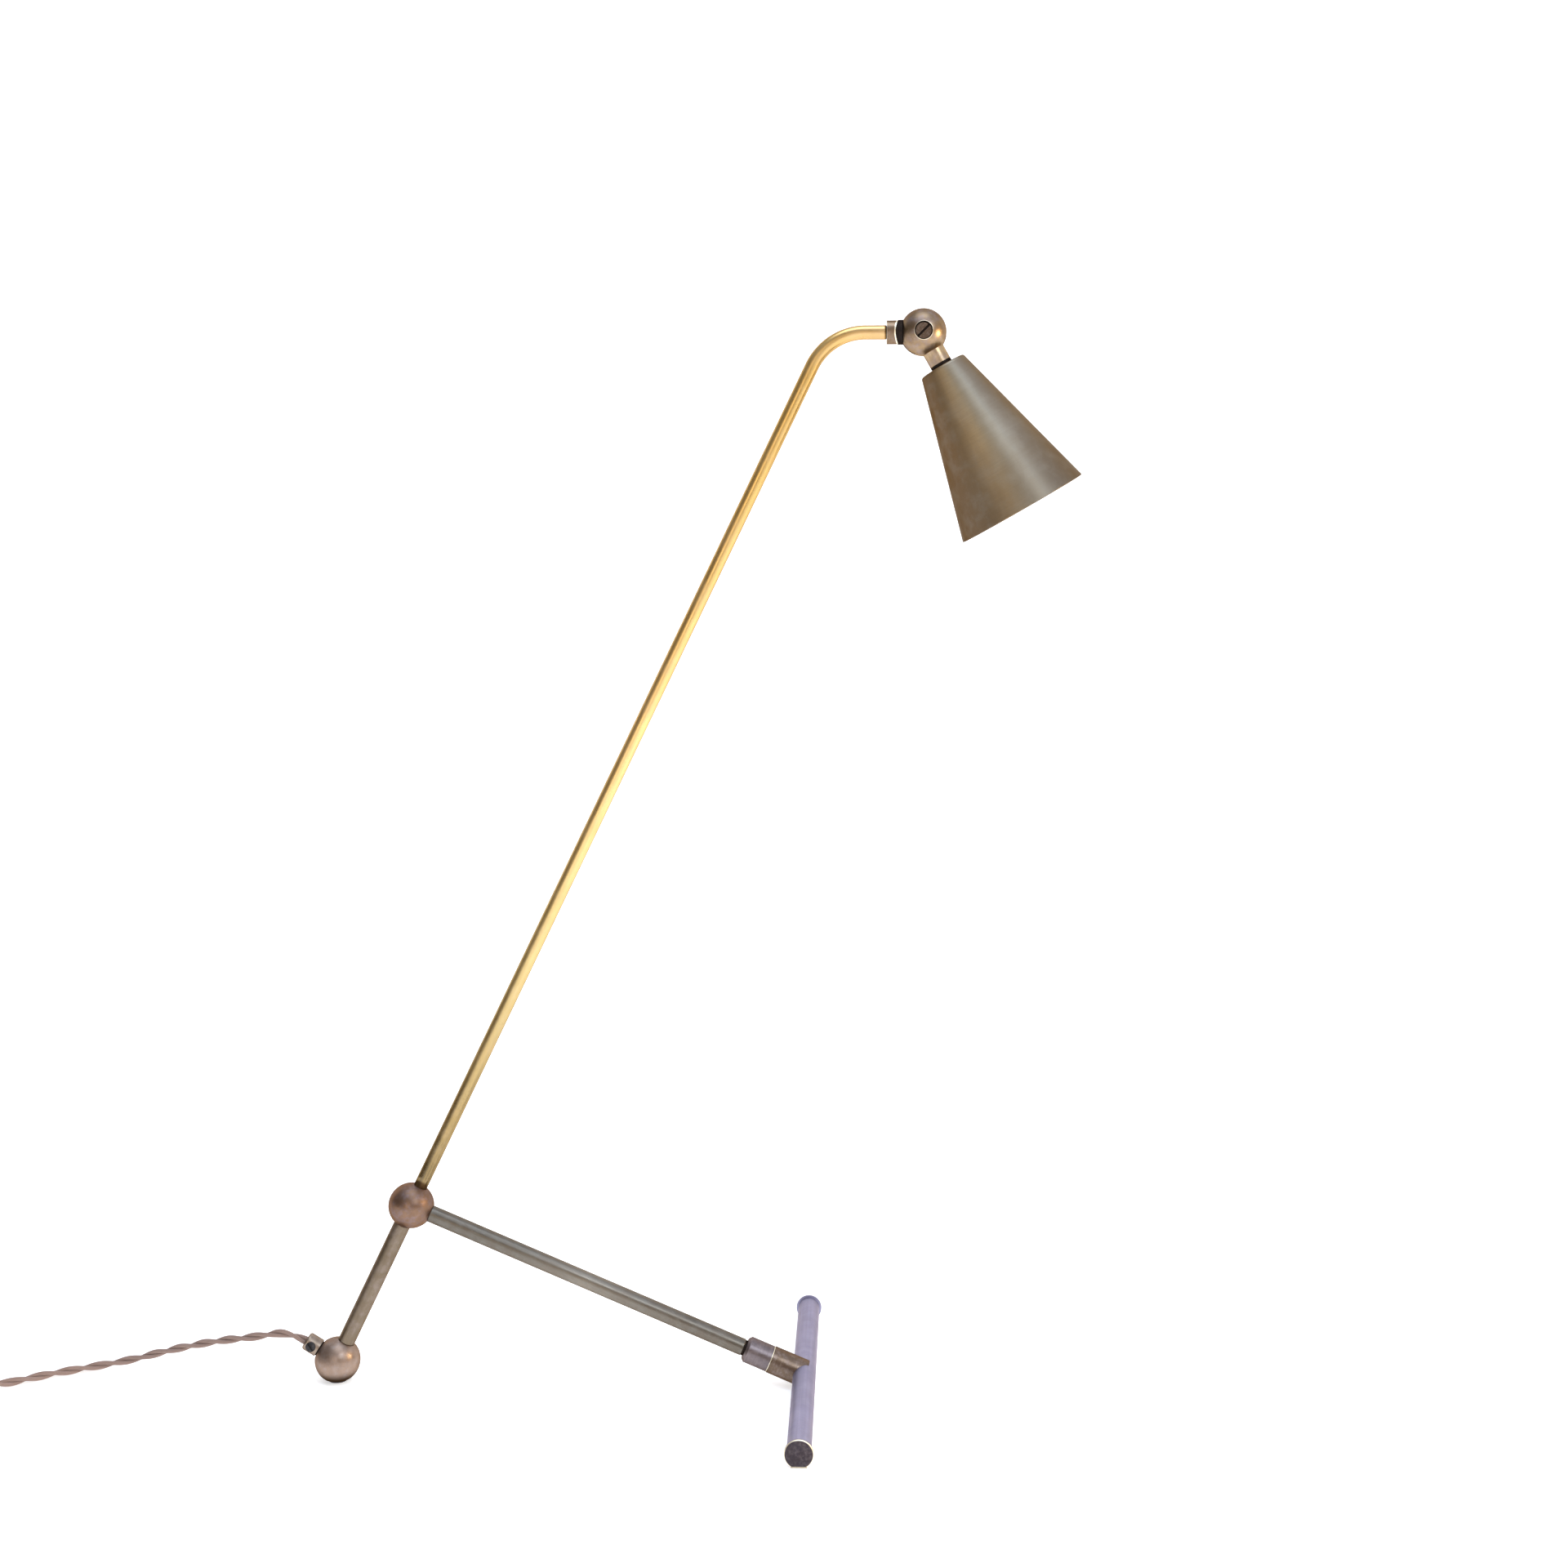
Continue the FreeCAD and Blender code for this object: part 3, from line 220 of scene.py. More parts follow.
def sweep(path, radius, sides=32, up=(0.0, 0.0, 1.0)):
    """Rings of a circle carried along a path: at each point two directions square to the tangent are the
    cross product of up with the tangent, and of the tangent with that."""
    path = np.asarray(path, float)
    tangent = np.gradient(path, axis=0)
    tangent /= np.linalg.norm(tangent, axis=1)[:, None]
    side = np.cross(up, tangent)
    side /= np.linalg.norm(side, axis=1)[:, None]
    rise = np.cross(tangent, side)
    angle = np.linspace(0, 2 * math.pi, sides, endpoint=False)[:, None]
    ring = np.cos(angle) * side[:, None] + np.sin(angle) * rise[:, None]
    step = np.linalg.norm(np.diff(path, axis=0), axis=1)
    along = np.concatenate([[0.0], np.cumsum(step)])
    own = np.stack(np.broadcast_arrays(radius * np.cos(angle.T), radius * np.sin(angle.T), along[:, None]),
                   -1)
    return path[:, None] + radius * ring, own


def surface(name, shapes, material, body, closed=False):
    """One mesh from one or more grids of rings.  Point j of a ring joins j + 1 round it and the same point of
    the next ring.  The last ring joins the first where closed is set, and otherwise each end is shut by a fan
    to its middle.  The map holds the share round the ring and the metres along it."""
    points, own, faces, maps, start = [], [], [], [], 0
    for grid, place in shapes:
        rings, sides = grid.shape[:2]
        flat = grid.reshape(-1, 3)
        i = np.arange(rings if closed else rings - 1)[:, None]
        j = np.arange(sides)[None]
        after_i, after_j = (i + 1) % rings, (j + 1) % sides
        quads = np.stack([i * sides + j, i * sides + after_j, after_i * sides + after_j, after_i * sides + j],
                         -1)
        run = np.linalg.norm(np.diff(grid.mean(1), axis=0), axis=1) if not closed else np.zeros(rings - 1)
        spread = np.linalg.norm(np.diff(grid[:, 0], axis=0), axis=1)
        along = np.concatenate([[0.0], np.cumsum(np.maximum(run, spread))])
        along = np.append(along, along[-1] + np.linalg.norm(grid[0, 0] - grid[-1, 0]))
        low, high = along[i] + 0 * j, along[i + 1] + 0 * j
        left, right = j / sides + 0.0 * i, (j + 1) / sides + 0.0 * i
        square = np.stack([np.stack([left, low], -1), np.stack([right, low], -1), np.stack([right, high], -1),
                           np.stack([left, high], -1)], -2)
        faces += (quads.reshape(-1, 4) + start).tolist()
        maps.append(square.reshape(-1, 2))
        points.append(flat)
        own.append(place.reshape(-1, 3))
        count = len(flat)
        if not closed:
            j = np.arange(sides)
            for ring, turn in ((0, -1), (rings - 1, 1)):
                points.append(grid[ring].mean(0)[None])
                own.append(place[ring].mean(0)[None])
                pair = [ring * sides + j, ring * sides + (j + 1) % sides]
                fan = np.stack([*pair[::turn], np.full(sides, count)], -1)
                faces += (fan + start).tolist()
                share = np.stack([j, j + 1, j + 0.5], -1) / sides
                maps.append(np.stack([share, np.full_like(share, along[ring])], -1).reshape(-1, 2))
                count += 1
        start += count
    mesh = bpy.data.meshes.new(name)
    mesh.from_pydata(np.vstack(points).tolist(), [], faces)
    mesh.uv_layers.new(name="Round").data.foreach_set("uv", np.vstack(maps).ravel())
    carried = mesh.attributes.new("own_place", "FLOAT_VECTOR", "POINT")
    carried.data.foreach_set("vector", np.vstack(own).ravel())
    work = bmesh.new()
    work.from_mesh(mesh)
    bmesh.ops.recalc_face_normals(work, faces=work.faces)
    work.to_mesh(mesh)
    work.free()
    mesh.shade_smooth()
    piece = bpy.data.objects.new(name, mesh)
    bpy.context.scene.collection.objects.link(piece)
    mesh.materials.append(material)
    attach(piece, body)
    return piece


# ---------------------------------------------------------------- node groups
def new_group(name, inputs, outputs):
    """An empty shader node group.  inputs are (name, socket kind, default), outputs (name, socket kind)."""
    group = bpy.data.node_groups.new(name, "ShaderNodeTree")
    for title, kind, value in inputs:
        socket = group.interface.new_socket(name=title, in_out="INPUT", socket_type="NodeSocket" + kind)
        socket.default_value = value
    for title, kind in outputs:
        group.interface.new_socket(name=title, in_out="OUTPUT", socket_type="NodeSocket" + kind)
    return group, group.nodes.new("NodeGroupInput"), group.nodes.new("NodeGroupOutput")


def wire(tree, source, target):
    """Joins an output socket to an input socket."""
    tree.links.new(source, target)


def noise(tree, vector, scale, detail=3.0, rough=0.55):
    """A noise texture; scale is a number or a socket."""
    node = tree.nodes.new("ShaderNodeTexNoise")
    wire(tree, vector, node.inputs["Vector"])
    if isinstance(scale, (int, float)):
        node.inputs["Scale"].default_value = scale
    else:
        wire(tree, scale, node.inputs["Scale"])
    node.inputs["Detail"].default_value = detail
    node.inputs["Roughness"].default_value = rough
    return node.outputs["Fac"]


def remap(tree, value, low, high, to_low=0.0, to_high=1.0):
    """Eases from to_low to to_high as a value goes from low to high, and stays level outside."""
    node = tree.nodes.new("ShaderNodeMapRange")
    node.interpolation_type = "SMOOTHSTEP"
    wire(tree, value, node.inputs["Value"])
    for title, number in (("From Min", low), ("From Max", high), ("To Min", to_low), ("To Max", to_high)):
        node.inputs[title].default_value = number
    return node.outputs["Result"]


def calc(tree, kind, first, second):
    """One sum of a kind that the node offers: each side is a socket or a number."""
    node = tree.nodes.new("ShaderNodeMath")
    node.operation = kind
    for socket, value in zip(node.inputs, (first, second)):
        if isinstance(value, (int, float)):
            socket.default_value = value
        else:
            wire(tree, value, socket)
    return node.outputs[0]


def blend_colours(tree, amount, first, second):
    """From the first colour to the second; each is a socket or a tuple."""
    node = tree.nodes.new("ShaderNodeMix")
    node.data_type = "RGBA"
    wire(tree, amount, node.inputs[0])
    for socket, value in ((node.inputs[6], first), (node.inputs[7], second)):
        if isinstance(value, tuple):
            socket.default_value = (*value, 1.0)
        else:
            wire(tree, value, socket)
    return node.outputs[2]


def stretch(tree, vector, amount):
    """Each part of a vector times its own factor."""
    node = tree.nodes.new("ShaderNodeVectorMath")
    node.operation = "MULTIPLY"
    wire(tree, vector, node.inputs[0])
    if isinstance(amount, tuple):
        node.inputs[1].default_value = amount
    else:
        wire(tree, amount, node.inputs[1])
    return node.outputs[0]


def make_patina_group():
    """Age on brass: large soft patches towards the dark colour, smaller clouds towards the tint, and
    specks."""
    group, given, result = new_group(
        "Lamp Patina",
        [("Vector", "Vector", (0, 0, 0)), ("Base", "Color", (0.5, 0.4, 0.2, 1)),
         ("Dark", "Color", (0.2, 0.14, 0.1, 1)), ("Tint", "Color", (0.5, 0.4, 0.4, 1)),
         ("Patches per Metre", "Float", 60.0), ("Age", "Float", 0.5)],
        [("Colour", "Color"), ("Wear", "Float"), ("Pits", "Float")])
    place, size, age = given.outputs["Vector"], given.outputs["Patches per Metre"], given.outputs["Age"]
    patches = remap(group, noise(group, place, size, 4.0, 0.6), 0.36, 0.68)
    clouds = remap(group, noise(group, place, calc(group, "MULTIPLY", size, 3.7), 5.0, 0.65), 0.40, 0.70)
    specks = remap(group, noise(group, place, calc(group, "MULTIPLY", size, 42.0), 2.0, 0.5), 0.58, 0.74)
    colour = blend_colours(group, calc(group, "MULTIPLY", patches, age), given.outputs["Base"],
                           given.outputs["Dark"])
    colour = blend_colours(group, calc(group, "MULTIPLY", clouds, calc(group, "MULTIPLY", age, 0.75)), colour,
                           given.outputs["Tint"])
    speck_share = calc(group, "MULTIPLY", specks, calc(group, "MULTIPLY", age, 0.55))
    colour = blend_colours(group, speck_share, colour, given.outputs["Dark"])
    wire(group, colour, result.inputs["Colour"])
    wear = calc(group, "ADD", calc(group, "MULTIPLY", patches, 0.6), calc(group, "MULTIPLY", clouds, 0.4))
    wire(group, wear, result.inputs["Wear"])
    wire(group, specks, result.inputs["Pits"])
    return group


def make_grain_group():
    """Fine lines left by drawing, turning or brushing: noise on a place stretched by so many lines a metre
    each way, in two sizes."""
    group, given, result = new_group(
        "Lamp Grain", [("Vector", "Vector", (0, 0, 0)), ("Lines per Metre", "Vector", (100, 100, 4000))],
        [("Height", "Float"), ("Streaks", "Float")])
    place = stretch(group, given.outputs["Vector"], given.outputs["Lines per Metre"])
    fine = noise(group, place, 1.0, 3.0, 0.7)
    coarse = noise(group, stretch(group, place, (0.22, 0.22, 0.22)), 1.0, 2.0, 0.6)
    height = calc(group, "ADD", calc(group, "MULTIPLY", fine, 0.7), calc(group, "MULTIPLY", coarse, 0.3))
    wire(group, height, result.inputs["Height"])
    wire(group, remap(group, coarse, 0.35, 0.65), result.inputs["Streaks"])
    return group


def make_braid_group():
    """Braided cloth on a round strand: two families of slanting yarns, one each way, that pass over each
    other in turn.  The map's first number is the share round the strand and its second is metres along it."""
    group, given, result = new_group(
        "Lamp Braid",
        [("Map", "Vector", (0, 0, 0)), ("Yarns Round", "Float", 8.0), ("Yarns per Metre", "Float", 1100.0)],
        [("Height", "Float"), ("Gap", "Float"), ("Family", "Float")])
    split = group.nodes.new("ShaderNodeSeparateXYZ")
    wire(group, given.outputs["Map"], split.inputs[0])
    round_it = calc(group, "MULTIPLY", split.outputs["X"], given.outputs["Yarns Round"])
    along = calc(group, "MULTIPLY", split.outputs["Y"], given.outputs["Yarns per Metre"])
    waves = []
    for kind in ("ADD", "SUBTRACT"):
        slant = calc(group, "MULTIPLY", calc(group, kind, round_it, along), 2 * math.pi)
        waves.append(remap(group, calc(group, "SINE", slant, 0.0), -1.0, 1.0))
    over = calc(group, "SINE", calc(group, "MULTIPLY", along, math.pi), 0.0)
    family = remap(group, over, -0.3, 0.3)
    upper = calc(group, "MAXIMUM", calc(group, "MULTIPLY", waves[0], family),
                 calc(group, "MULTIPLY", waves[1], calc(group, "SUBTRACT", 1.0, family)))
    wire(group, upper, result.inputs["Height"])
    wire(group, remap(group, upper, 0.05, 0.45, 1.0, 0.0), result.inputs["Gap"])
    wire(group, family, result.inputs["Family"])
    return group


GROUPS = {}


def use_group(tree, name, maker, **values):
    """Places a node group, built once, and sets its inputs to sockets, colours or numbers."""
    if name not in GROUPS:
        GROUPS[name] = maker()
    node = tree.nodes.new("ShaderNodeGroup")
    node.node_tree = GROUPS[name]
    for key, value in values.items():
        socket = node.inputs[key.replace("_", " ")]
        if isinstance(value, bpy.types.NodeSocket):
            wire(tree, value, socket)
        elif isinstance(value, tuple) and socket.type == "RGBA":
            socket.default_value = (*value[:3], 1.0)
        else:
            socket.default_value = value
    return node


# ---------------------------------------------------------------- materials
# colour of painted shade in hollows and under the foot ball
PAINTED_SHADE_COLOUR = (0.022, 0.017, 0.014)
# colour of painted highlights on edges
GLINT_COLOUR = (0.95, 0.86, 0.66)
EDGE_TINT = (0.50, 0.42, 0.36)        # aged brass reflects less at a glancing angle


def scaled(colour, factors):
    """A colour times a factor for each of red, green and blue, kept under full white."""
    return tuple(min(0.97, float(a * b)) for a, b in zip(colour, factors))


def shaded(colour, share, towards=(0.0, 0.0, 0.0)):
    """A colour part of the way towards another."""
    return tuple(float(a + (b - a) * share) for a, b in zip(colour, towards))


def new_material(name):
    """An empty material, its nodes and its shader."""
    material = bpy.data.materials.new(name)
    material.use_nodes = True
    return material, material.node_tree, material.node_tree.nodes["Principled BSDF"]


def own_place(tree):
    """The place that a piece made here carries with it, straightened along its own line."""
    node = tree.nodes.new("ShaderNodeAttribute")
    node.attribute_name = "own_place"
    return node.outputs["Vector"]


def object_place(tree, centre=(0, 0, 0), way=(0, 0, 1)):
    """Object coordinates, moved to a centre and turned so that way becomes Z."""
    node = tree.nodes.new("ShaderNodeTexCoord")
    mapping = tree.nodes.new("ShaderNodeMapping")
    mapping.vector_type = "TEXTURE"
    mapping.inputs["Location"].default_value = tuple(float(x) for x in centre)
    way = unit(way)
    mapping.inputs["Rotation"].default_value = (0.0, math.acos(way[2]), math.atan2(way[1], way[0]))
    wire(tree, node.outputs["Object"], mapping.inputs["Vector"])
    return mapping.outputs["Vector"]


def length_of(tree, vector):
    """A vector's length."""
    node = tree.nodes.new("ShaderNodeVectorMath")
    node.operation = "LENGTH"
    wire(tree, vector, node.inputs[0])
    return node.outputs["Value"]


def part_of(tree, vector, axis):
    """One coordinate of a place: "X", "Y" or "Z"."""
    node = tree.nodes.new("ShaderNodeSeparateXYZ")
    wire(tree, vector, node.inputs[0])
    return node.outputs[axis]


def round_axis(tree, vector):
    """Distance from the Z axis of a place."""
    return length_of(tree, stretch(tree, vector, (1.0, 1.0, 0.0)))


def band(tree, value, start, end, soft):
    """One between start and end, nothing outside, with soft edges."""
    rise = remap(tree, value, start - soft, start + soft)
    return calc(tree, "MULTIPLY", rise, remap(tree, value, end - soft, end + soft, 1.0, 0.0))


def colour_ramp(tree, value, stops):
    """A colour for a value from 0 to 1.  Each stop is (value, colour), and the first two are the lowest and
    the highest."""
    ramp = tree.nodes.new("ShaderNodeValToRGB")
    wire(tree, value, ramp.inputs[0])
    marks = ramp.color_ramp.elements
    for k, (at, colour) in enumerate(stops):
        mark = marks[k] if k < 2 else marks.new(at)
        mark.position, mark.color = at, (*colour, 1.0)
    return ramp.outputs[0]


def fade(stops, length):
    """Makes a colour that changes along a piece: stops are (share of its length, colour)."""
    def make(tree, where):
        return colour_ramp(tree, calc(tree, "DIVIDE", part_of(tree, where, "Z"), length), stops)
    return make


def bump(tree, shader, height, distance):
    """Fine relief of this depth on a shader."""
    node = tree.nodes.new("ShaderNodeBump")
    node.inputs["Distance"].default_value = distance
    node.inputs["Strength"].default_value = 1.0
    wire(tree, height, node.inputs["Height"])
    wire(tree, node.outputs["Normal"], shader.inputs["Normal"])


def brass(name, colour, place, lines, patches=45.0, age=0.5, rough=(0.30, 0.46), relief=0.000004, tint=None,
          base=None, painted_glint=None, painted_shade=None, streaks=0.30):
    """Aged brass: patina for the colour, and roughness and fine relief from drawn, turned or brushed lines.
    base makes the colour from a place, and on some pieces it carries painted light; the first mask after it
    adds painted highlights on edges, and the second adds painted shade in hollows and under the foot ball."""
    material, tree, shader = new_material(name)
    where = place(tree)
    colour = tuple(colour)
    patina = use_group(tree, "Lamp Patina", make_patina_group, Vector=where,
                       Base=base(tree, where) if base else colour,
                       Dark=shaded(colour, 0.45, (0.10, 0.06, 0.04)),
                       Tint=tint or shaded(colour, 0.5, (0.50, 0.42, 0.42)),
                       Patches_per_Metre=patches, Age=age)
    grain = use_group(tree, "Lamp Grain", make_grain_group, Vector=where, Lines_per_Metre=lines)
    streaked = blend_colours(tree, calc(tree, "MULTIPLY", grain.outputs["Streaks"], streaks),
                             patina.outputs["Colour"], shaded(colour, 0.35))
    # painted shade: darkens the masked hollows
    if painted_shade:
        streaked = blend_colours(tree, painted_shade(tree, where), streaked, PAINTED_SHADE_COLOUR)
    # painted highlight: brightens the masked edges
    if painted_glint:
        streaked = blend_colours(tree, painted_glint(tree, where), streaked, GLINT_COLOUR)
    wire(tree, streaked, shader.inputs["Base Color"])
    rough_mask = calc(tree, "ADD", calc(tree, "MULTIPLY", patina.outputs["Wear"], 0.6),
                      calc(tree, "MULTIPLY", grain.outputs["Height"], 0.4))
    wire(tree, remap(tree, rough_mask, 0.15, 0.85, rough[0], rough[1]), shader.inputs["Roughness"])
    shader.inputs["Metallic"].default_value = 1.0
    shader.inputs["Specular Tint"].default_value = (*EDGE_TINT, 1.0)
    pits = calc(tree, "MULTIPLY", patina.outputs["Pits"], 0.5)
    pitted = calc(tree, "SUBTRACT", grain.outputs["Height"], pits)
    bump(tree, shader, pitted, relief)
    return material


def moulded(name, colour, rough, relief, scale, coat=0.0, gloss=0.5):
    """Moulded plastic, rubber or ceramic: faint cloudy colour, fine relief and uneven gloss."""
    material, tree, shader = new_material(name)
    where = object_place(tree)
    clouds = remap(tree, noise(tree, where, scale * 0.1, 4.0), 0.3, 0.7)
    wire(tree, blend_colours(tree, clouds, tuple(colour), shaded(colour, 0.22, (0.30, 0.28, 0.26))),
         shader.inputs["Base Color"])
    grain = noise(tree, where, scale, 4.0, 0.6)
    wire(tree, remap(tree, grain, 0.3, 0.7, rough - 0.07, rough + 0.07), shader.inputs["Roughness"])
    shader.inputs["Coat Weight"].default_value = coat
    shader.inputs["Specular IOR Level"].default_value = gloss
    bump(tree, shader, grain, relief)
    return material


def cloth(name, colour):
    """Braided cloth over a strand: bright yarn backs, painted shade in the gaps, loose fibres and a soft
    sheen.
    """
    material, tree, shader = new_material(name)
    node = tree.nodes.new("ShaderNodeUVMap")
    node.uv_map = "Round"
    braid = use_group(tree, "Lamp Braid", make_braid_group, Map=node.outputs["UV"])
    place = own_place(tree)
    fibres = noise(tree, stretch(tree, place, (9000.0, 9000.0, 2500.0)), 1.0, 3.0, 0.7)
    grubby = remap(tree, noise(tree, place, 70.0, 4.0), 0.35, 0.7)
    yarn = blend_colours(tree, braid.outputs["Family"], tuple(colour),
                         shaded(colour, 0.25, (0.36, 0.22, 0.17)))
    yarn = blend_colours(tree, calc(tree, "MULTIPLY", grubby, 0.35), yarn,
                         shaded(colour, 0.4, (0.16, 0.10, 0.08)))
    yarn = blend_colours(tree, remap(tree, fibres, 0.45, 0.75, 0.0, 0.30), yarn, (0.62, 0.50, 0.44))
    # painted shade in the gaps between yarns
    painted_gap_shade = calc(tree, "MULTIPLY", braid.outputs["Gap"], 0.6)
    wire(tree, blend_colours(tree, painted_gap_shade, yarn, shaded(colour, 0.75)), shader.inputs["Base Color"])
    shader.inputs["Roughness"].default_value = 0.85
    shader.inputs["Sheen Weight"].default_value = 0.12
    relief = calc(tree, "ADD", braid.outputs["Height"], calc(tree, "MULTIPLY", fibres, 0.35))
    bump(tree, shader, relief, 0.00018)
    return material


def felt(name, colour):
    """Pressed felt: short fibres, dark between, with a soft sheen."""
    material, tree, shader = new_material(name)
    place = object_place(tree)
    fibres = noise(tree, place, 5200.0, 4.0, 0.7)
    wire(tree, blend_colours(tree, remap(tree, fibres, 0.3, 0.7), tuple(colour), shaded(colour, 0.45)),
         shader.inputs["Base Color"])
    shader.inputs["Roughness"].default_value = 0.95
    shader.inputs["Sheen Weight"].default_value = 0.4
    bump(tree, shader, fibres, 0.0002)
    return material


def bulb_glass():
    """Frosted glass with uneven frost."""
    material, tree, shader = new_material("frosted_glass")
    frost = noise(tree, own_place(tree), 1500.0, 4.0, 0.6)
    wire(tree, remap(tree, frost, 0.3, 0.7, 0.18, 0.32), shader.inputs["Roughness"])
    shader.inputs["Base Color"].default_value = (0.95, 0.94, 0.90, 1.0)
    shader.inputs["Transmission Weight"].default_value = 0.7
    bump(tree, shader, frost, 0.00002)
    return material


def paint(nodes, material):
    """Puts a material on CAD nodes."""
    for name in nodes:
        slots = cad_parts[name].material_slots
        if not slots:
            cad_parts[name].data.materials.append(material)
        for slot in slots:
            slot.material = material


# ---------------------------------------------------------------- stand
BALL_TINT = (0.36, 0.31, 0.33)
# lines a metre, across and along the axis that a piece was worked on
DRAWN = (2600.0, 2600.0, 45.0)
TURNED = (60.0, 60.0, 3800.0)
FINE_TURNED = (90.0, 90.0, 6000.0)
SPUN = (120.0, 120.0, 5200.0)
SPECKLED = (1400.0, 1400.0, 1400.0)


def straight_tube(name, start, way, length, material, node):
    """A closed round bar with softly rounded ends, in place of a tube whose bore never shows.  Rings along it
    keep the pattern even."""
    round_by = bpy.context.scene.lamp_sizes.edge_round
    profile = rounded([(0, 0, 0), (TUBE_R, 0, round_by), (TUBE_R, length, round_by), (0, length, 0)])
    middle = np.linspace(0, 1, 24)[1:-1]
    split = len(profile) // 2
    runs = np.column_stack([np.full(len(middle), TUBE_R), middle * (length - 4 * round_by) + 2 * round_by])
    profile = np.vstack([profile[:split], runs, profile[split:]])[1:-1]
    piece = surface(name, [revolve(profile, start, way, 64)], material, "stand")
    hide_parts(node)


def bent_path(start, corner, end, radius, steps=40):
    """Straight, arc, straight: the arc is tangent to both runs and turns about a point on the bisector."""
    back, on = unit(start - corner), unit(end - corner)
    half_turn = (math.pi - math.acos(back @ on)) / 2
    inward = unit(back + on)
    across = unit(on - back)
    centre = corner + inward * (radius / math.cos(half_turn))
    turn = np.linspace(-half_turn, half_turn, steps)[:, None]
    arc = centre + radius * (np.sin(turn) * across - np.cos(turn) * inward)
    first = start + (arc[0] - start) * np.linspace(0, 1, 80)[:-1, None]
    last = arc[-1] + (end - arc[-1]) * np.linspace(0, 1, 12)[1:, None]
    return np.vstack([first, arc, last])


class LAMP_OT_arm(bpy.types.Operator):
    """Long bent arm, bright in the middle and dark towards the hub, with painted light along it"""
    bl_idname = "lamp.arm"
    bl_label = "Arm"

    def execute(self, context):
        gold = tuple(context.scene.lamp_finishes.arm_colour)
        # colour along the arm: a painted highlight and a cool painted reflection in the middle, and darker
        # towards the hub
        tones_and_painted_light = [(0.0, (0.12, 0.14, 0.24)), (1.0, (0.72, 0.68, 0.80)), (0.09, (0.34, 0.37, 0.45)),
                (0.17, (0.54, 0.62, 0.80)), (0.26, (0.76, 0.88, 1.10)), (0.35, (0.88, 0.97, 1.15)),
                (0.52, (0.98, 1.00, 1.12)), (0.69, (0.84, 0.82, 0.80)), (0.86, (0.82, 0.78, 0.66)),
                (0.94, (0.74, 0.70, 0.64))]
        stops = [(share, scaled(gold, factors)) for share, factors in tones_and_painted_light]
        drawn = brass("arm_brass", gold, own_place, DRAWN, 25.0, 0.30, (0.26, 0.40), base=fade(stops, ARM_L))
        end = PIVOT - ALONG_ARM_END * ARM_END_BACK
        path = bent_path(HUB + UP_ARM * SEAT_ARM, HUB + UP_ARM * ARM_SPAN, end, ARM_BEND_R)
        grid = sweep(path, ARM_R, 64, (0.0, 1.0, 0.0))
        arm = surface("arm_tube_drawn", [grid], drawn, "stand")
        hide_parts("arm_tube")
        return {"FINISHED"}


class LAMP_OT_tubes(bpy.types.Operator):
    """Lower tube and leg"""
    bl_idname = "lamp.tubes"
    bl_label = "Straight tubes"

    def execute(self, context):
        colours = context.scene.lamp_finishes
        lower = brass("lower_tube_brass", colours.lower_colour, own_place, DRAWN, 40.0, 0.5, (0.28, 0.44))
        length = np.linalg.norm(HUB - FOOT) - 2 * SEAT_TUBE
        straight_tube("lower_tube_drawn", FOOT + UP_ARM * SEAT_TUBE, UP_ARM, length, lower,
                      "lower_tube")
        length = np.linalg.norm(BAR - HUB) - SEAT_TUBE - LEG_END
        grey = tuple(colours.leg_colour)
        # colour along the leg: a painted highlight along its middle, and darker towards both ends
        tones_and_painted_light = [(0.0, 0.62), (1.0, 0.62), (0.12, 0.60), (0.30, 0.72), (0.50, 1.15), (0.68, 0.80),
                (0.85, 0.60)]
        stops = [(share, scaled(grey, (factor,) * 3)) for share, factor in tones_and_painted_light]
        leg = brass("leg_brass", grey, own_place, DRAWN, 45.0, 0.5, (0.30, 0.46),
                    tint=scaled(grey, (1.0, 1.1, 1.2)), base=fade(stops, length))
        straight_tube("leg_tube_drawn", HUB + DOWN_LEG * SEAT_TUBE, DOWN_LEG, length, leg,
                      "leg_tube")
        return {"FINISHED"}


class LAMP_OT_collar(bpy.types.Operator):
    """Bevelled lock collar with a painted highlight on its lower edge"""
    bl_idname = "lamp.collar"
    bl_label = "Lock collar"

    def execute(self, context):
        round_by = context.scene.lamp_sizes.edge_round

        def seam_glint(tree, where):
            """Painted highlight on the lower edge, against the stub."""
            return remap(tree, part_of(tree, where, "Z"), LOCK_L - 0.75 * MM, LOCK_L - 0.45 * MM)

        colour = context.scene.lamp_finishes.collar_colour
        turned = brass("collar_brass", colour, own_place, TURNED, 80.0, 0.5, (0.34, 0.5), painted_glint=seam_glint)
        profile = rounded([(LOCK_BORE_R, 0, 0), (LOCK_R - LOCK_BEVEL, 0, round_by),
                           (LOCK_R, LOCK_BEVEL, round_by), (LOCK_R, LOCK_L, round_by),
                           (LOCK_BORE_R, LOCK_L, 0)])
        grid = revolve(profile, BAR - DOWN_LEG * LOCK_TOP, DOWN_LEG)
        lock = surface("lock_collar_turned", [grid], turned, "stand", closed=True)
        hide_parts("lock_collar")
        return {"FINISHED"}


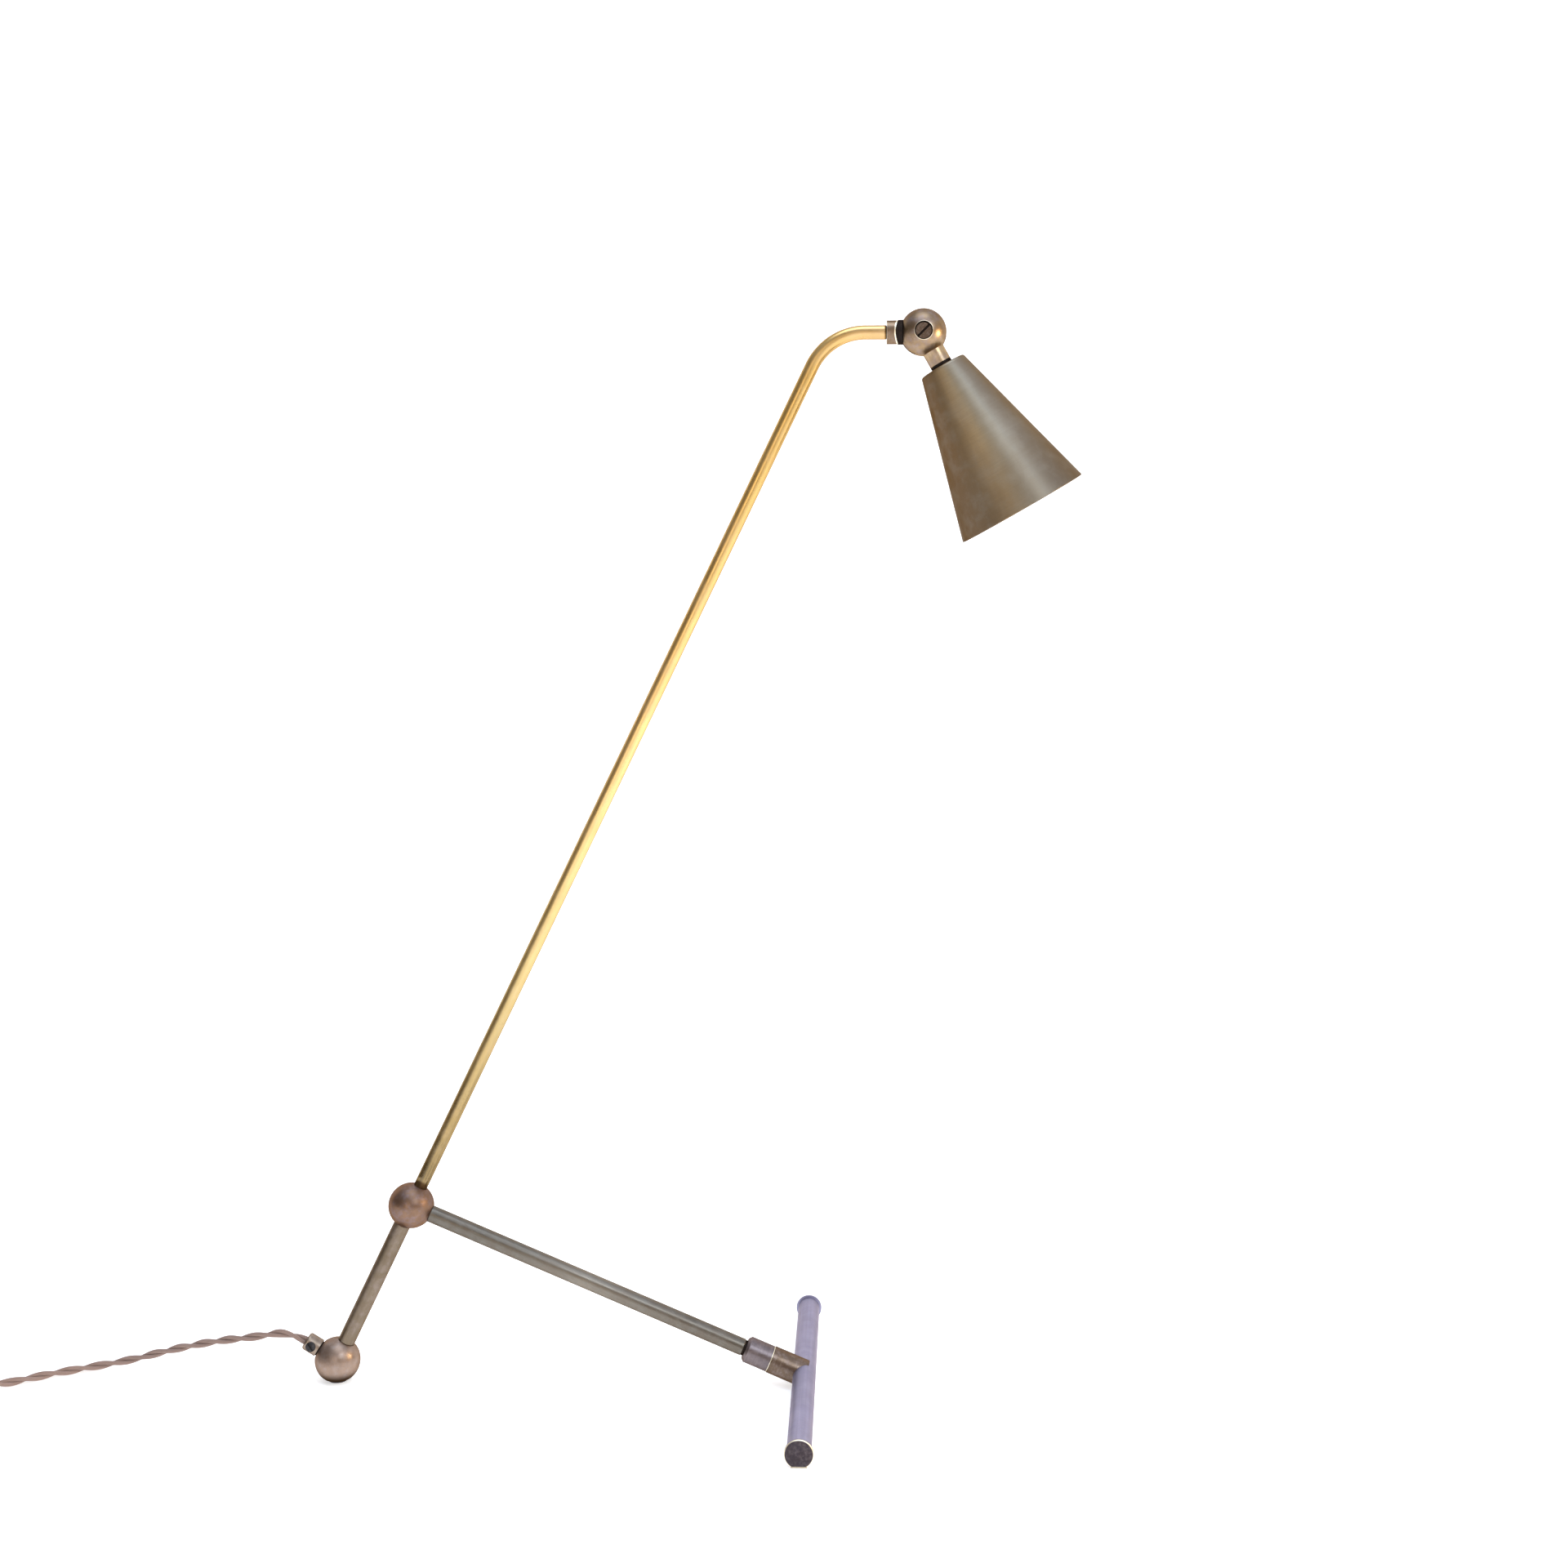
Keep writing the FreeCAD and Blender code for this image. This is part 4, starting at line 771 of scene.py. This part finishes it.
class LAMP_OT_balls(bpy.types.Operator):
    """Finish of the foot ball and the hub ball, and the foot's pad"""
    bl_idname = "lamp.balls"
    bl_label = "Foot and hub balls"

    def execute(self, context):
        brown = tuple(context.scene.lamp_finishes.ball_colour)

        def painted_underside_shade(tree, where):
            """Painted shade on the foot ball's underside, near the table."""
            return remap(tree, part_of(tree, where, "Z"), 2.0 * MM, 9.0 * MM, 0.95, 0.0)

        greyed, darker = scaled(brown, (1.08, 1.20, 1.38)), scaled(brown, (0.74, 0.70, 0.70))
        paint(["foot_ball"], brass("ball_brass", greyed, object_place, SPECKLED, 60.0, 0.7, (0.34, 0.50),
                                   tint=scaled(brown, (1.15, 1.50, 2.10)), painted_shade=painted_underside_shade))
        paint(["hub_ball"], brass("hub_brass", darker, object_place, SPECKLED, 60.0, 0.6, (0.34, 0.50),
                                  tint=scaled(BALL_TINT, (0.7, 0.7, 0.8))))
        paint(["foot_pad"], moulded("black_rubber", (0.030, 0.025, 0.032), 0.85, 0.00004, 1800.0, gloss=0.1))
        return {"FINISHED"}


class LAMP_OT_crossbar(bpy.types.Operator):
    """Finish of the crossbar, its stub, its end caps and its felt"""
    bl_idname = "lamp.crossbar"
    bl_label = "Crossbar"

    def execute(self, context):
        colours = context.scene.lamp_finishes

        def from_bar(tree):
            """Along the bar."""
            return object_place(tree, BAR, (0, 1, 0))

        def from_middle(tree, where):
            """Distance from the bar's middle, either way."""
            return calc(tree, "ABSOLUTE", part_of(tree, where, "Z"), 0.0)

        def cap_rim_glint(tree, where):
            """A painted highlight: a bright ring round the cap, just behind its face."""
            return band(tree, from_middle(tree, where), CAP_FACE - 1.0 * MM, CAP_FACE - 0.1 * MM, 0.1 * MM)

        def cap_base(tree, where):
            """The bar's colour, and near black on the turned face: painted shade."""
            face = remap(tree, from_middle(tree, where), CAP_FACE - 0.15 * MM, CAP_FACE - 0.05 * MM)
            return blend_colours(tree, face, tuple(colours.bar_colour), tuple(colours.cap_colour))

        paint(["tee_stub"], brass("stub_brass", colours.stub_colour,
                                  lambda tree: object_place(tree, BAR, DOWN_LEG), TURNED, 90.0, 0.6))
        # lavender colour and tint: a painted reflection of cool light from above
        paint(["crossbar"], brass("bar_brass", colours.bar_colour, from_bar, DRAWN, 30.0, 0.35, (0.40, 0.55),
                                  tint=(0.36, 0.35, 0.52)))
        paint(["end_cap_front"], brass("cap_brass", colours.cap_colour, from_bar, FINE_TURNED, 120.0, 0.35,
                                       (0.38, 0.52), base=cap_base, painted_glint=cap_rim_glint))
        paint(["end_cap_rear"], brass("rear_cap_brass", colours.bar_colour, from_bar, FINE_TURNED, 120.0, 0.0,
                                      (0.38, 0.52), base=cap_base, streaks=0.1))
        paint(["felt_strip"], felt("cream_felt", (0.72, 0.64, 0.50)))
        return {"FINISHED"}


class LAMP_OT_small_parts(bpy.types.Operator):
    """Finish of the cord grip, the washers, the threads and the leads"""
    bl_idname = "lamp.small_parts"
    bl_label = "Small parts"

    def execute(self, context):
        paint(["cord_grip"], brass("grip_brass", context.scene.lamp_finishes.grip_colour,
                                   lambda tree: object_place(tree, FOOT, TO_GRIP), TURNED, 120.0, 0.5))
        paint(["grip_screw"],
              moulded("black_nylon", (0.010, 0.010, 0.014), 0.60, 0.00002, 2600.0, gloss=0.15))
        # blackened brass, so dark that these pieces also stand for the deep shade in the gaps around them:
        # partly painted shade
        paint(["lock_washer", "grip_washer", "swivel_washer", "neck_ring", "friction_washers",
               "knuckle_tongue"],
              brass("blackened_brass_and_gap_shade", (0.022, 0.017, 0.015), object_place, SPECKLED, 150.0, 0.3, (0.5, 0.7),
                    tint=(0.03, 0.024, 0.02)))
        paint(["foot_nipple", "hub_lower_nipple", "arm_nipple", "leg_hub_stud", "leg_foot_stud",
               "swivel_post", "swivel_nut"],
              brass("thread_brass", (0.60, 0.47, 0.26), object_place, (1200.0, 1200.0, 1200.0), 120.0, 0.3))
        paint(["arm_leads", "head_leads"], moulded("lead_sleeve", (0.42, 0.36, 0.28), 0.7, 0.00006, 2500.0))
        return {"FINISHED"}


# ---------------------------------------------------------------- head
class LAMP_OT_knuckle(bpy.types.Operator):
    """Finish of the slotted ball with its neck, the swivel collar and the pivot screw"""
    bl_idname = "lamp.knuckle"
    bl_label = "Knuckle"

    def execute(self, context):
        colours = context.scene.lamp_finishes
        brown = tuple(colours.ball_colour)

        def on_pivot(tree):
            """Along the tilt axis."""
            return object_place(tree, PIVOT, TILT_AXIS)

        def on_swivel(tree):
            """Along the swivel axis."""
            return object_place(tree, PIVOT, ALONG_ARM_END)

        def painted_sink_shade(tree, where):
            """Painted shade in the screw's hollow."""
            return remap(tree, round_axis(tree, where), 5.05 * MM, 5.25 * MM, 0.92, 0.0)

        def sink_rim_glint(tree, where):
            """Painted highlight on the hollow's edge."""
            rim = band(tree, round_axis(tree, where), 5.2 * MM, 5.5 * MM, 0.1 * MM)
            return calc(tree, "MULTIPLY", rim, 0.55)

        def knuckle_base(tree, where):
            """Olive on top of the ball, and brighter towards the neck: a painted highlight low on the ball
            and on the neck.
            """
            down = part_of(tree, object_place(tree, PIVOT, DOWN_SHADE), "Z")
            ball = blend_colours(tree, remap(tree, down, -9.0 * MM, 6.0 * MM),
                                 scaled(brown, (0.76, 0.88, 0.80)), scaled(brown, (1.12, 1.20, 1.00)))
            return blend_colours(tree, remap(tree, down, 6.0 * MM, 15.0 * MM), ball,
                                 scaled(brown, (1.80, 2.05, 1.75)))

        def mouth_edge_glint(tree, where):
            """Painted highlight along the fish-mouth, which is round about the tilt axis, and on the collar's
            back edge.
            """
            near = remap(tree, round_axis(tree, on_pivot(tree)), 16.45 * MM, 16.75 * MM, 1.0, 0.0)
            back = remap(tree, part_of(tree, where, "Z"), -20.75 * MM, -20.6 * MM, 0.3, 0.0)
            return calc(tree, "MAXIMUM", near, back)

        def painted_slot_shade(tree, where):
            """Painted shade deeper than the screw head's face, and on the head's edge."""
            deep = remap(tree, part_of(tree, where, "Z"), -10.3 * MM, -9.9 * MM)
            edge = remap(tree, round_axis(tree, where), 4.2 * MM, 4.6 * MM, 0.0, 0.8)
            return calc(tree, "MAXIMUM", deep, edge)

        paint(["knuckle_ball"], brass("knuckle_brass", brown, on_pivot, SPECKLED, 70.0, 0.6, (0.30, 0.46),
                                      tint=BALL_TINT, base=knuckle_base, painted_shade=painted_sink_shade, painted_glint=sink_rim_glint))
        darker = scaled(colours.grip_colour, (0.78, 0.68, 0.55))
        paint(["swivel_collar"], brass("swivel_brass", darker, on_swivel, TURNED, 120.0, 0.5, (0.3, 0.44),
                                       painted_glint=mouth_edge_glint))
        paint(["pivot_screw"], brass("screw_brass", colours.screw_colour, on_pivot, FINE_TURNED, 200.0, 0.6,
                                     painted_shade=painted_slot_shade))
        return {"FINISHED"}


class LAMP_OT_shade(bpy.types.Operator):
    """Spun shade with its rounded shoulder and rim"""
    bl_idname = "lamp.shade"
    bl_label = "Shade"

    def execute(self, context):
        wall = context.scene.lamp_sizes.shade_wall
        slope = (SHADE_MOUTH_R - SHADE_TOP_R) / SHADE_L
        side_wall = wall / math.cos(math.atan(slope))
        shares = np.linspace(0.04, 0.985, 40)

        def run(shares, off):
            """Points on the cone's slope at these shares of its length, moved in by off."""
            return [(SHADE_TOP_R + slope * SHADE_L * share - off, SHADE_L * share, 0.0) for share in shares]

        corners = [(SHADE_BORE_R, 0, 0), (SHADE_TOP_R, 0, 1.7 * MM), *run(shares, 0.0),
                   (SHADE_MOUTH_R, SHADE_L, 0.35 * MM), (SHADE_MOUTH_R - side_wall, SHADE_L, 0.35 * MM),
                   *run(shares[::-1], side_wall), (SHADE_TOP_R + slope * wall - side_wall, wall, 0.8 * MM),
                   (SHADE_BORE_R, wall, 0)]
        olive = tuple(context.scene.lamp_finishes.shade_colour)

        def painted_light_tones(tree, where):
            """Painted light round the axis, by the side's share of the radius: painted shade, brown, on one
            side, bright bands across the middle and grey on the other, painted highlights.  Both darken
            towards the mouth."""
            share = calc(tree, "DIVIDE", part_of(tree, where, "Y"), round_axis(tree, where))
            tones = [(0.0, (0.50, 0.40, 0.34)), (1.0, (0.84, 0.82, 0.82)), (0.12, (0.88, 0.76, 0.62)),
                     (0.24, (1.56, 1.42, 1.20)), (0.42, (1.36, 1.36, 1.30)), (0.60, (1.04, 1.14, 1.30)),
                     (0.74, (0.84, 0.96, 1.18)), (0.88, (0.84, 0.88, 1.00))]
            sides = colour_ramp(tree, remap(tree, share, -1.0, 1.0),
                                [(at, scaled(olive, factors)) for at, factors in tones])
            mouth = remap(tree, part_of(tree, where, "Z"), 0.45 * SHADE_L, SHADE_L, 0.0, 0.42)
            return blend_colours(tree, mouth, sides, scaled(olive, (0.40, 0.36, 0.36)))

        spun = brass("shade_brass", olive, own_place, SPUN, 26.0, 0.34, (0.38, 0.52), 0.000006,
                     (0.32, 0.29, 0.24), base=painted_light_tones, streaks=0.12)
        grid = revolve(rounded(corners), PIVOT + DOWN_SHADE * SHADE_AT, DOWN_SHADE, 192)
        shade = surface("shade_spun", [grid], spun, "head", closed=True)
        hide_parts("shade")
        return {"FINISHED"}


class LAMP_OT_bulb(bpy.types.Operator):
    """Lampholder and small frosted bulb inside the shade.  The bulb's ball meets its neck at a fixed angle
    behind the ball's widest ring.  The neck's radius eases from the base's to the ball's by 3 t^2 - 2 t^3,
    where t is the share of the neck's length.  The base's thread is a cosine ripple along it."""
    bl_idname = "lamp.bulb"
    bl_label = "Bulb and holder"

    def execute(self, context):
        top = PIVOT + DOWN_SHADE * SHADE_AT
        middle = GLASS_L - GLASS_R
        turn = np.linspace(-GLASS_JOIN, math.pi / 2, 40)
        ball = np.column_stack([GLASS_R * np.cos(turn), middle + GLASS_R * np.sin(turn)])
        rise = np.linspace(0, 1, 14)[:-1]
        ease = rise ** 2 * (3 - 2 * rise)
        stem = np.column_stack([BASE_R + (ball[0, 0] - BASE_R) * ease, rise * ball[0, 1]])
        profile = np.vstack([stem, ball[:-1]])
        glass = surface("bulb_glass_blown", [revolve(profile, top + DOWN_SHADE * GLASS_AT, DOWN_SHADE, 64)],
                        bulb_glass(), "head")
        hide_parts("bulb_glass")
        along = np.linspace(0, BASE_L, 140)
        thread = BASE_R - THREAD_DEPTH * (0.5 - 0.5 * np.cos(2 * math.pi * along / THREAD_PITCH))
        tip = np.array([(2.4 * MM, -0.6 * MM), (2.4 * MM, 0.0)])
        metal = brass("bulb_metal", (0.62, 0.60, 0.54), own_place, TURNED, 120.0, 0.2, (0.2, 0.34))
        base = surface("bulb_base_rolled", [revolve(np.vstack([tip, np.column_stack([thread, along])]),
                                                    top + DOWN_SHADE * BASE_AT, DOWN_SHADE, 64)],
                       metal, "head")
        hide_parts("bulb_base")
        dark = moulded("dark_bakelite", (0.050, 0.026, 0.018), 0.26, 0.00001, 900.0, 0.3)
        paint(["holder_cap", "holder_sleeve"], dark)
        paint(["holder_core"], moulded("white_ceramic", (0.80, 0.79, 0.75), 0.22, 0.00001, 700.0, 0.5))
        paint(["threaded_shell", "centre_contact", "shade_nipple", "shade_nut"],
              brass("plain_brass", (0.66, 0.52, 0.28), lambda tree: object_place(tree, top, DOWN_SHADE),
                    TURNED, 120.0, 0.3))
        return {"FINISHED"}


# ---------------------------------------------------------------- cord
def route_points(name, control):
    """Points along one smooth open spline that the control points shape, read from the curve itself."""
    curve = bpy.data.curves.new(name, "CURVE")
    curve.dimensions = "3D"
    curve.resolution_u = 16
    spline = curve.splines.new("NURBS")
    spline.points.add(len(control) - 1)
    spline.points.foreach_set("co", np.column_stack([control, np.ones(len(control))]).ravel())
    spline.order_u = 3
    spline.use_endpoint_u = True
    holder = bpy.data.objects.new(name, curve)
    bpy.context.scene.collection.objects.link(holder)
    bpy.context.view_layer.update()
    mesh = bpy.data.meshes.new_from_object(holder)
    points = np.zeros(len(mesh.vertices) * 3)
    mesh.vertices.foreach_get("co", points)
    bpy.data.meshes.remove(mesh)
    bpy.data.objects.remove(holder)
    bpy.data.curves.remove(curve)
    return points.reshape(-1, 3)


def evenly(points, spacing):
    """The same line with its points an even distance apart."""
    step = np.linalg.norm(np.diff(points, axis=0), axis=1)
    along = np.concatenate([[0.0], np.cumsum(step)])
    where = np.linspace(0, along[-1], int(along[-1] / spacing) + 1)
    return np.column_stack([np.interp(where, along, points[:, k]) for k in range(3)]), where


def smooth_line(points, passes=6):
    """Each inner point moves to the mean of itself and its neighbours, a few times over."""
    points = points.copy()
    for _ in range(passes):
        points[1:-1] = (points[:-2] + 2 * points[1:-1] + points[2:]) / 4
    return points


def twisted_pair(name, control, spacing, material, start_phase=0.0):
    """Two strands round the route: each is half a strand's diameter off the centre line, at an angle that
    grows by a full turn every twist length."""
    sizes = bpy.context.scene.lamp_sizes
    line, along = evenly(smooth_line(evenly(route_points(name + "_route", control), spacing)[0]), spacing)
    tangent = np.gradient(line, axis=0)
    tangent /= np.linalg.norm(tangent, axis=1)[:, None]
    side = np.cross((0.0, 0.0, 1.0), tangent)
    side /= np.linalg.norm(side, axis=1)[:, None]
    rise = np.cross(tangent, side)
    strand_r = sizes.cord_diameter / 4
    shapes = []
    for half in (0.0, math.pi):
        angle = (2 * math.pi * along / sizes.twist_length + half + start_phase)[:, None]
        shapes.append(sweep(line + strand_r * (np.cos(angle) * side + np.sin(angle) * rise), strand_r, 14))
    return surface(name, shapes, material, "stand"), line


def coil_control():
    """Points of the coil's turns: radius and height follow the four marks in turns, and the radius is let
    out a little because a spline of this kind runs inside its points."""
    turn = np.arange(1, int(COIL_TURNS * COIL_POINTS)) / COIL_POINTS
    angle = np.radians(COIL_FROM_DEG) - 2 * math.pi * turn
    let_out = 0.75 + 0.25 * math.cos(2 * math.pi / COIL_POINTS)
    radius = np.interp(turn, COIL_TURN_AT, COIL_RADIUS) / let_out
    height = np.interp(turn, COIL_TURN_AT, COIL_HEIGHT)
    return np.column_stack([COIL_AT[0] + radius * np.cos(angle), COIL_AT[1] + radius * np.sin(angle), height])


class LAMP_OT_cord(bpy.types.Operator):
    """Twisted cloth cord, its coil and tie, the in-line switch and the plug"""
    bl_idname = "lamp.cord"
    bl_label = "Cord, switch and plug"

    def execute(self, context):
        braid = cloth("cord_cloth", context.scene.lamp_finishes.cloth_colour)
        dark = moulded("plug_bakelite", (0.050, 0.028, 0.020), 0.24, 0.00001, 800.0, 0.4)
        pins = brass("blade_brass", (0.66, 0.53, 0.30), object_place, SPECKLED, 150.0, 0.2, (0.2, 0.32))
        paint(["switch_base", "switch_cover", "plug_face"], dark)
        paint(["switch_rocker"], moulded("ivory_plastic", (0.72, 0.66, 0.52), 0.30, 0.00001, 900.0, 0.2))
        paint(["switch_screws", "rocker_pins"],
              brass("zinc_screw", (0.50, 0.50, 0.48), object_place, FINE_TURNED, 200.0, 0.2))
        paint(["plug_blades", "switch_contacts"], pins)
        paint(["coil_tie"], moulded("black_strap", (0.03, 0.028, 0.026), 0.8, 0.00012, 2200.0))

        lead, line = twisted_pair("power_cord_twisted", TO_SWITCH, 0.8 * MM, braid, 0.6)
        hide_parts("power_cord")

        control = np.vstack([TO_COIL, coil_control(), TO_PLUG])
        coil, line = twisted_pair("coiled_cord_twisted", control, 1.6 * MM, braid)
        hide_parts("power_cord_tail", "cord_coil", "plug_lead")
        plug = self.make_plug(dark)
        return {"FINISHED"}

    def make_plug(self, material):
        """Round plug body with a nose of three ribs and a rounded shoulder, its profile in millimetres."""
        corners = [(0, 0, 0), (5.6, 0, 0.5)]
        for at in (0.0, 1.8, 3.6):
            corners += [(6.0, at + 0.6, 0.2), (6.0, at + 1.5, 0.2), (5.3, at + 1.7, 0.1),
                        (5.3, at + 2.2, 0.1)]
        corners += [(6.0, 6.2, 0.1), (10.0, 8.0, 1.2), (12.0, 11.0, 1.5), (12.0, 19.0, 0), (0, 19.0, 0)]
        profile = rounded(np.array(corners) * MM)[1:-1]
        plug = surface("plug_body_moulded", [revolve(profile, TO_PLUG[-1], (0.0, 1.0, 0.0), 72)], material,
                       "stand")
        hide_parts("plug_body")
        return plug


# ---------------------------------------------------------------- studio
CAMERA_AT = (0.0293, -1.1873, 0.4423)
CAMERA_TURNED = (math.radians(86.0), 0.0, math.radians(2.0))
FLOOR_HALF_WIDTH = 6.0
CURVE_FROM = 1.2            # where the floor starts to curve up
CURVE_R = 0.8
BACKDROP_TOP = 5.0


def area_light(name, place, aim, size, power, colour):
    """A round lamp at a place, turned so that its face looks at aim."""
    light = bpy.data.lights.new(name, "AREA")
    light.shape = "DISK"
    light.size = size
    light.energy = power
    light.color = colour
    lamp = bpy.data.objects.new(name, light)
    bpy.context.scene.collection.objects.link(lamp)
    lamp.location = place
    way = unit(np.subtract(aim, place))
    lamp.rotation_euler = (math.acos(-way[2]), 0.0, math.atan2(way[1], way[0]) - math.pi / 2)


class LAMP_OT_studio(bpy.types.Operator):
    """Pale floor, soft lights and the camera"""
    bl_idname = "lamp.studio"
    bl_label = "Studio"

    def execute(self, context):
        studio = context.scene.lamp_studio
        self.make_floor(studio)
        self.make_sky(context.scene)
        area_light("top_light", (-0.1, -0.45, 2.6), (0.0, 0.0, 0.2), 1.7, studio.top_power, (0.76, 0.87, 1.0))
        area_light("key_light", (0.9, -1.35, 1.35), (0.0, 0.0, 0.3), 0.9, studio.key_power, (0.78, 0.89, 1.0))
        area_light("fill_light", (-0.55, -2.1, 0.75), (0.0, 0.0, 0.4), 1.1, studio.fill_power,
                   (1.0, 0.90, 0.76))
        area_light("warm_light", (1.05, -0.20, 0.52), (0.0, 0.0, 0.45), 0.30, studio.warm_power,
                   (1.0, 0.76, 0.44))
        lens = bpy.data.cameras.new("camera")
        lens.lens = studio.lens
        lens.sensor_width = 36.0
        camera = bpy.data.objects.new("camera", lens)
        context.scene.collection.objects.link(camera)
        camera.location = CAMERA_AT
        camera.rotation_euler = CAMERA_TURNED
        context.scene.camera = camera
        context.scene.view_settings.view_transform = "Standard"
        return {"FINISHED"}

    def make_floor(self, studio):
        """A sheet that is flat in front and curves up behind: its height follows a quarter circle and then a
        wall."""
        across = np.linspace(-FLOOR_HALF_WIDTH, FLOOR_HALF_WIDTH, 3)
        flat = np.array([[-FLOOR_HALF_WIDTH, 0.0], [CURVE_FROM, 0.0]])
        turn = np.linspace(0, math.pi / 2, 17)[1:]
        bend = np.column_stack([CURVE_FROM + CURVE_R * np.sin(turn), CURVE_R * (1 - np.cos(turn))])
        line = np.vstack([flat, bend, [[CURVE_FROM + CURVE_R, BACKDROP_TOP]]])
        grid = np.stack(np.broadcast_arrays(across[None], line[:, :1], line[:, 1:]), -1)
        rows, columns = grid.shape[:2]
        i, j = np.arange(rows - 1)[:, None], np.arange(columns - 1)[None]
        corner = i * columns + j
        quads = np.stack([corner, corner + 1, corner + columns + 1, corner + columns], -1)
        mesh = bpy.data.meshes.new("floor")
        mesh.from_pydata(grid.reshape(-1, 3).tolist(), [], quads.reshape(-1, 4).tolist())
        mesh.shade_smooth()
        floor = bpy.data.objects.new("floor", mesh)
        bpy.context.scene.collection.objects.link(floor)
        material, _, shader = new_material("pale_floor")
        shader.inputs["Base Color"].default_value = (*studio.floor_colour, 1.0)
        shader.inputs["Roughness"].default_value = 0.8
        shader.inputs["Emission Color"].default_value = (1.0, 1.0, 1.0, 1.0)
        shader.inputs["Emission Strength"].default_value = 0.5
        mesh.materials.append(material)

    def make_sky(self, scene):
        """Soft surroundings: a dim warm band at eye height and a cool bright ceiling, brighter towards +X.
        Past the floor's edge the view itself meets plain white."""
        world = bpy.data.worlds.new("studio_air")
        world.use_nodes = True
        scene.world = world
        tree = world.node_tree
        place = tree.nodes.new("ShaderNodeTexCoord")
        split = tree.nodes.new("ShaderNodeSeparateXYZ")
        wire(tree, place.outputs["Generated"], split.inputs[0])
        stops = [(0.0, (0.42, 0.32, 0.22)), (0.85, (0.80, 0.86, 1.0)), (0.30, (0.52, 0.44, 0.38))]
        wire(tree, colour_ramp(tree, split.outputs["Z"], stops), tree.nodes["Background"].inputs["Color"])
        side = remap(tree, split.outputs["X"], -0.9, 0.8, 0.45, 1.25)
        wire(tree, side, tree.nodes["Background"].inputs["Strength"])
        plain = tree.nodes.new("ShaderNodeBackground")
        plain.inputs["Color"].default_value = (1.0, 1.0, 1.0, 1.0)
        rays = tree.nodes.new("ShaderNodeLightPath")
        choose = tree.nodes.new("ShaderNodeMixShader")
        wire(tree, rays.outputs["Is Camera Ray"], choose.inputs[0])
        wire(tree, tree.nodes["Background"].outputs[0], choose.inputs[1])
        wire(tree, plain.outputs[0], choose.inputs[2])
        wire(tree, choose.outputs[0], tree.nodes["World Output"].inputs["Surface"])


# ---------------------------------------------------------------- add-on
STEPS = (LAMP_OT_studio, LAMP_OT_arm, LAMP_OT_tubes, LAMP_OT_collar, LAMP_OT_balls, LAMP_OT_crossbar,
         LAMP_OT_small_parts, LAMP_OT_knuckle, LAMP_OT_shade, LAMP_OT_bulb, LAMP_OT_cord)
SETTINGS = {"lamp_finishes": LampFinishes, "lamp_sizes": LampSizes, "lamp_studio": LampStudio}


class LAMP_PT_panel(bpy.types.Panel):
    """A button for each step and every setting"""
    bl_idname = "LAMP_PT_panel"
    bl_label = "Brass lamp"
    bl_space_type = "VIEW_3D"
    bl_region_type = "UI"
    bl_category = "Lamp"

    def draw(self, context):
        for step in STEPS:
            self.layout.operator(step.bl_idname)
        for name, group in SETTINGS.items():
            box = self.layout.box()
            box.label(text=group.__doc__)
            for setting in group.__annotations__:
                box.prop(getattr(context.scene, name), setting)


def register():
    """Adds the settings, the steps and the panel."""
    for group in SETTINGS.values():
        bpy.utils.register_class(group)
    for name, group in SETTINGS.items():
        setattr(bpy.types.Scene, name, bpy.props.PointerProperty(type=group))
    for kind in (*STEPS, LAMP_PT_panel):
        bpy.utils.register_class(kind)


def unregister():
    """Takes away all that register adds."""
    for kind in reversed((*STEPS, LAMP_PT_panel)):
        bpy.utils.unregister_class(kind)
    for name, group in SETTINGS.items():
        delattr(bpy.types.Scene, name)
        bpy.utils.unregister_class(group)


def main():
    """Makes every piece."""
    register()
    bpy.ops.lamp.studio()
    bpy.ops.lamp.arm()
    bpy.ops.lamp.tubes()
    bpy.ops.lamp.collar()
    bpy.ops.lamp.balls()
    bpy.ops.lamp.crossbar()
    bpy.ops.lamp.small_parts()
    bpy.ops.lamp.knuckle()
    bpy.ops.lamp.shade()
    bpy.ops.lamp.bulb()
    bpy.ops.lamp.cord()


if __name__ == "__main__":
    main()
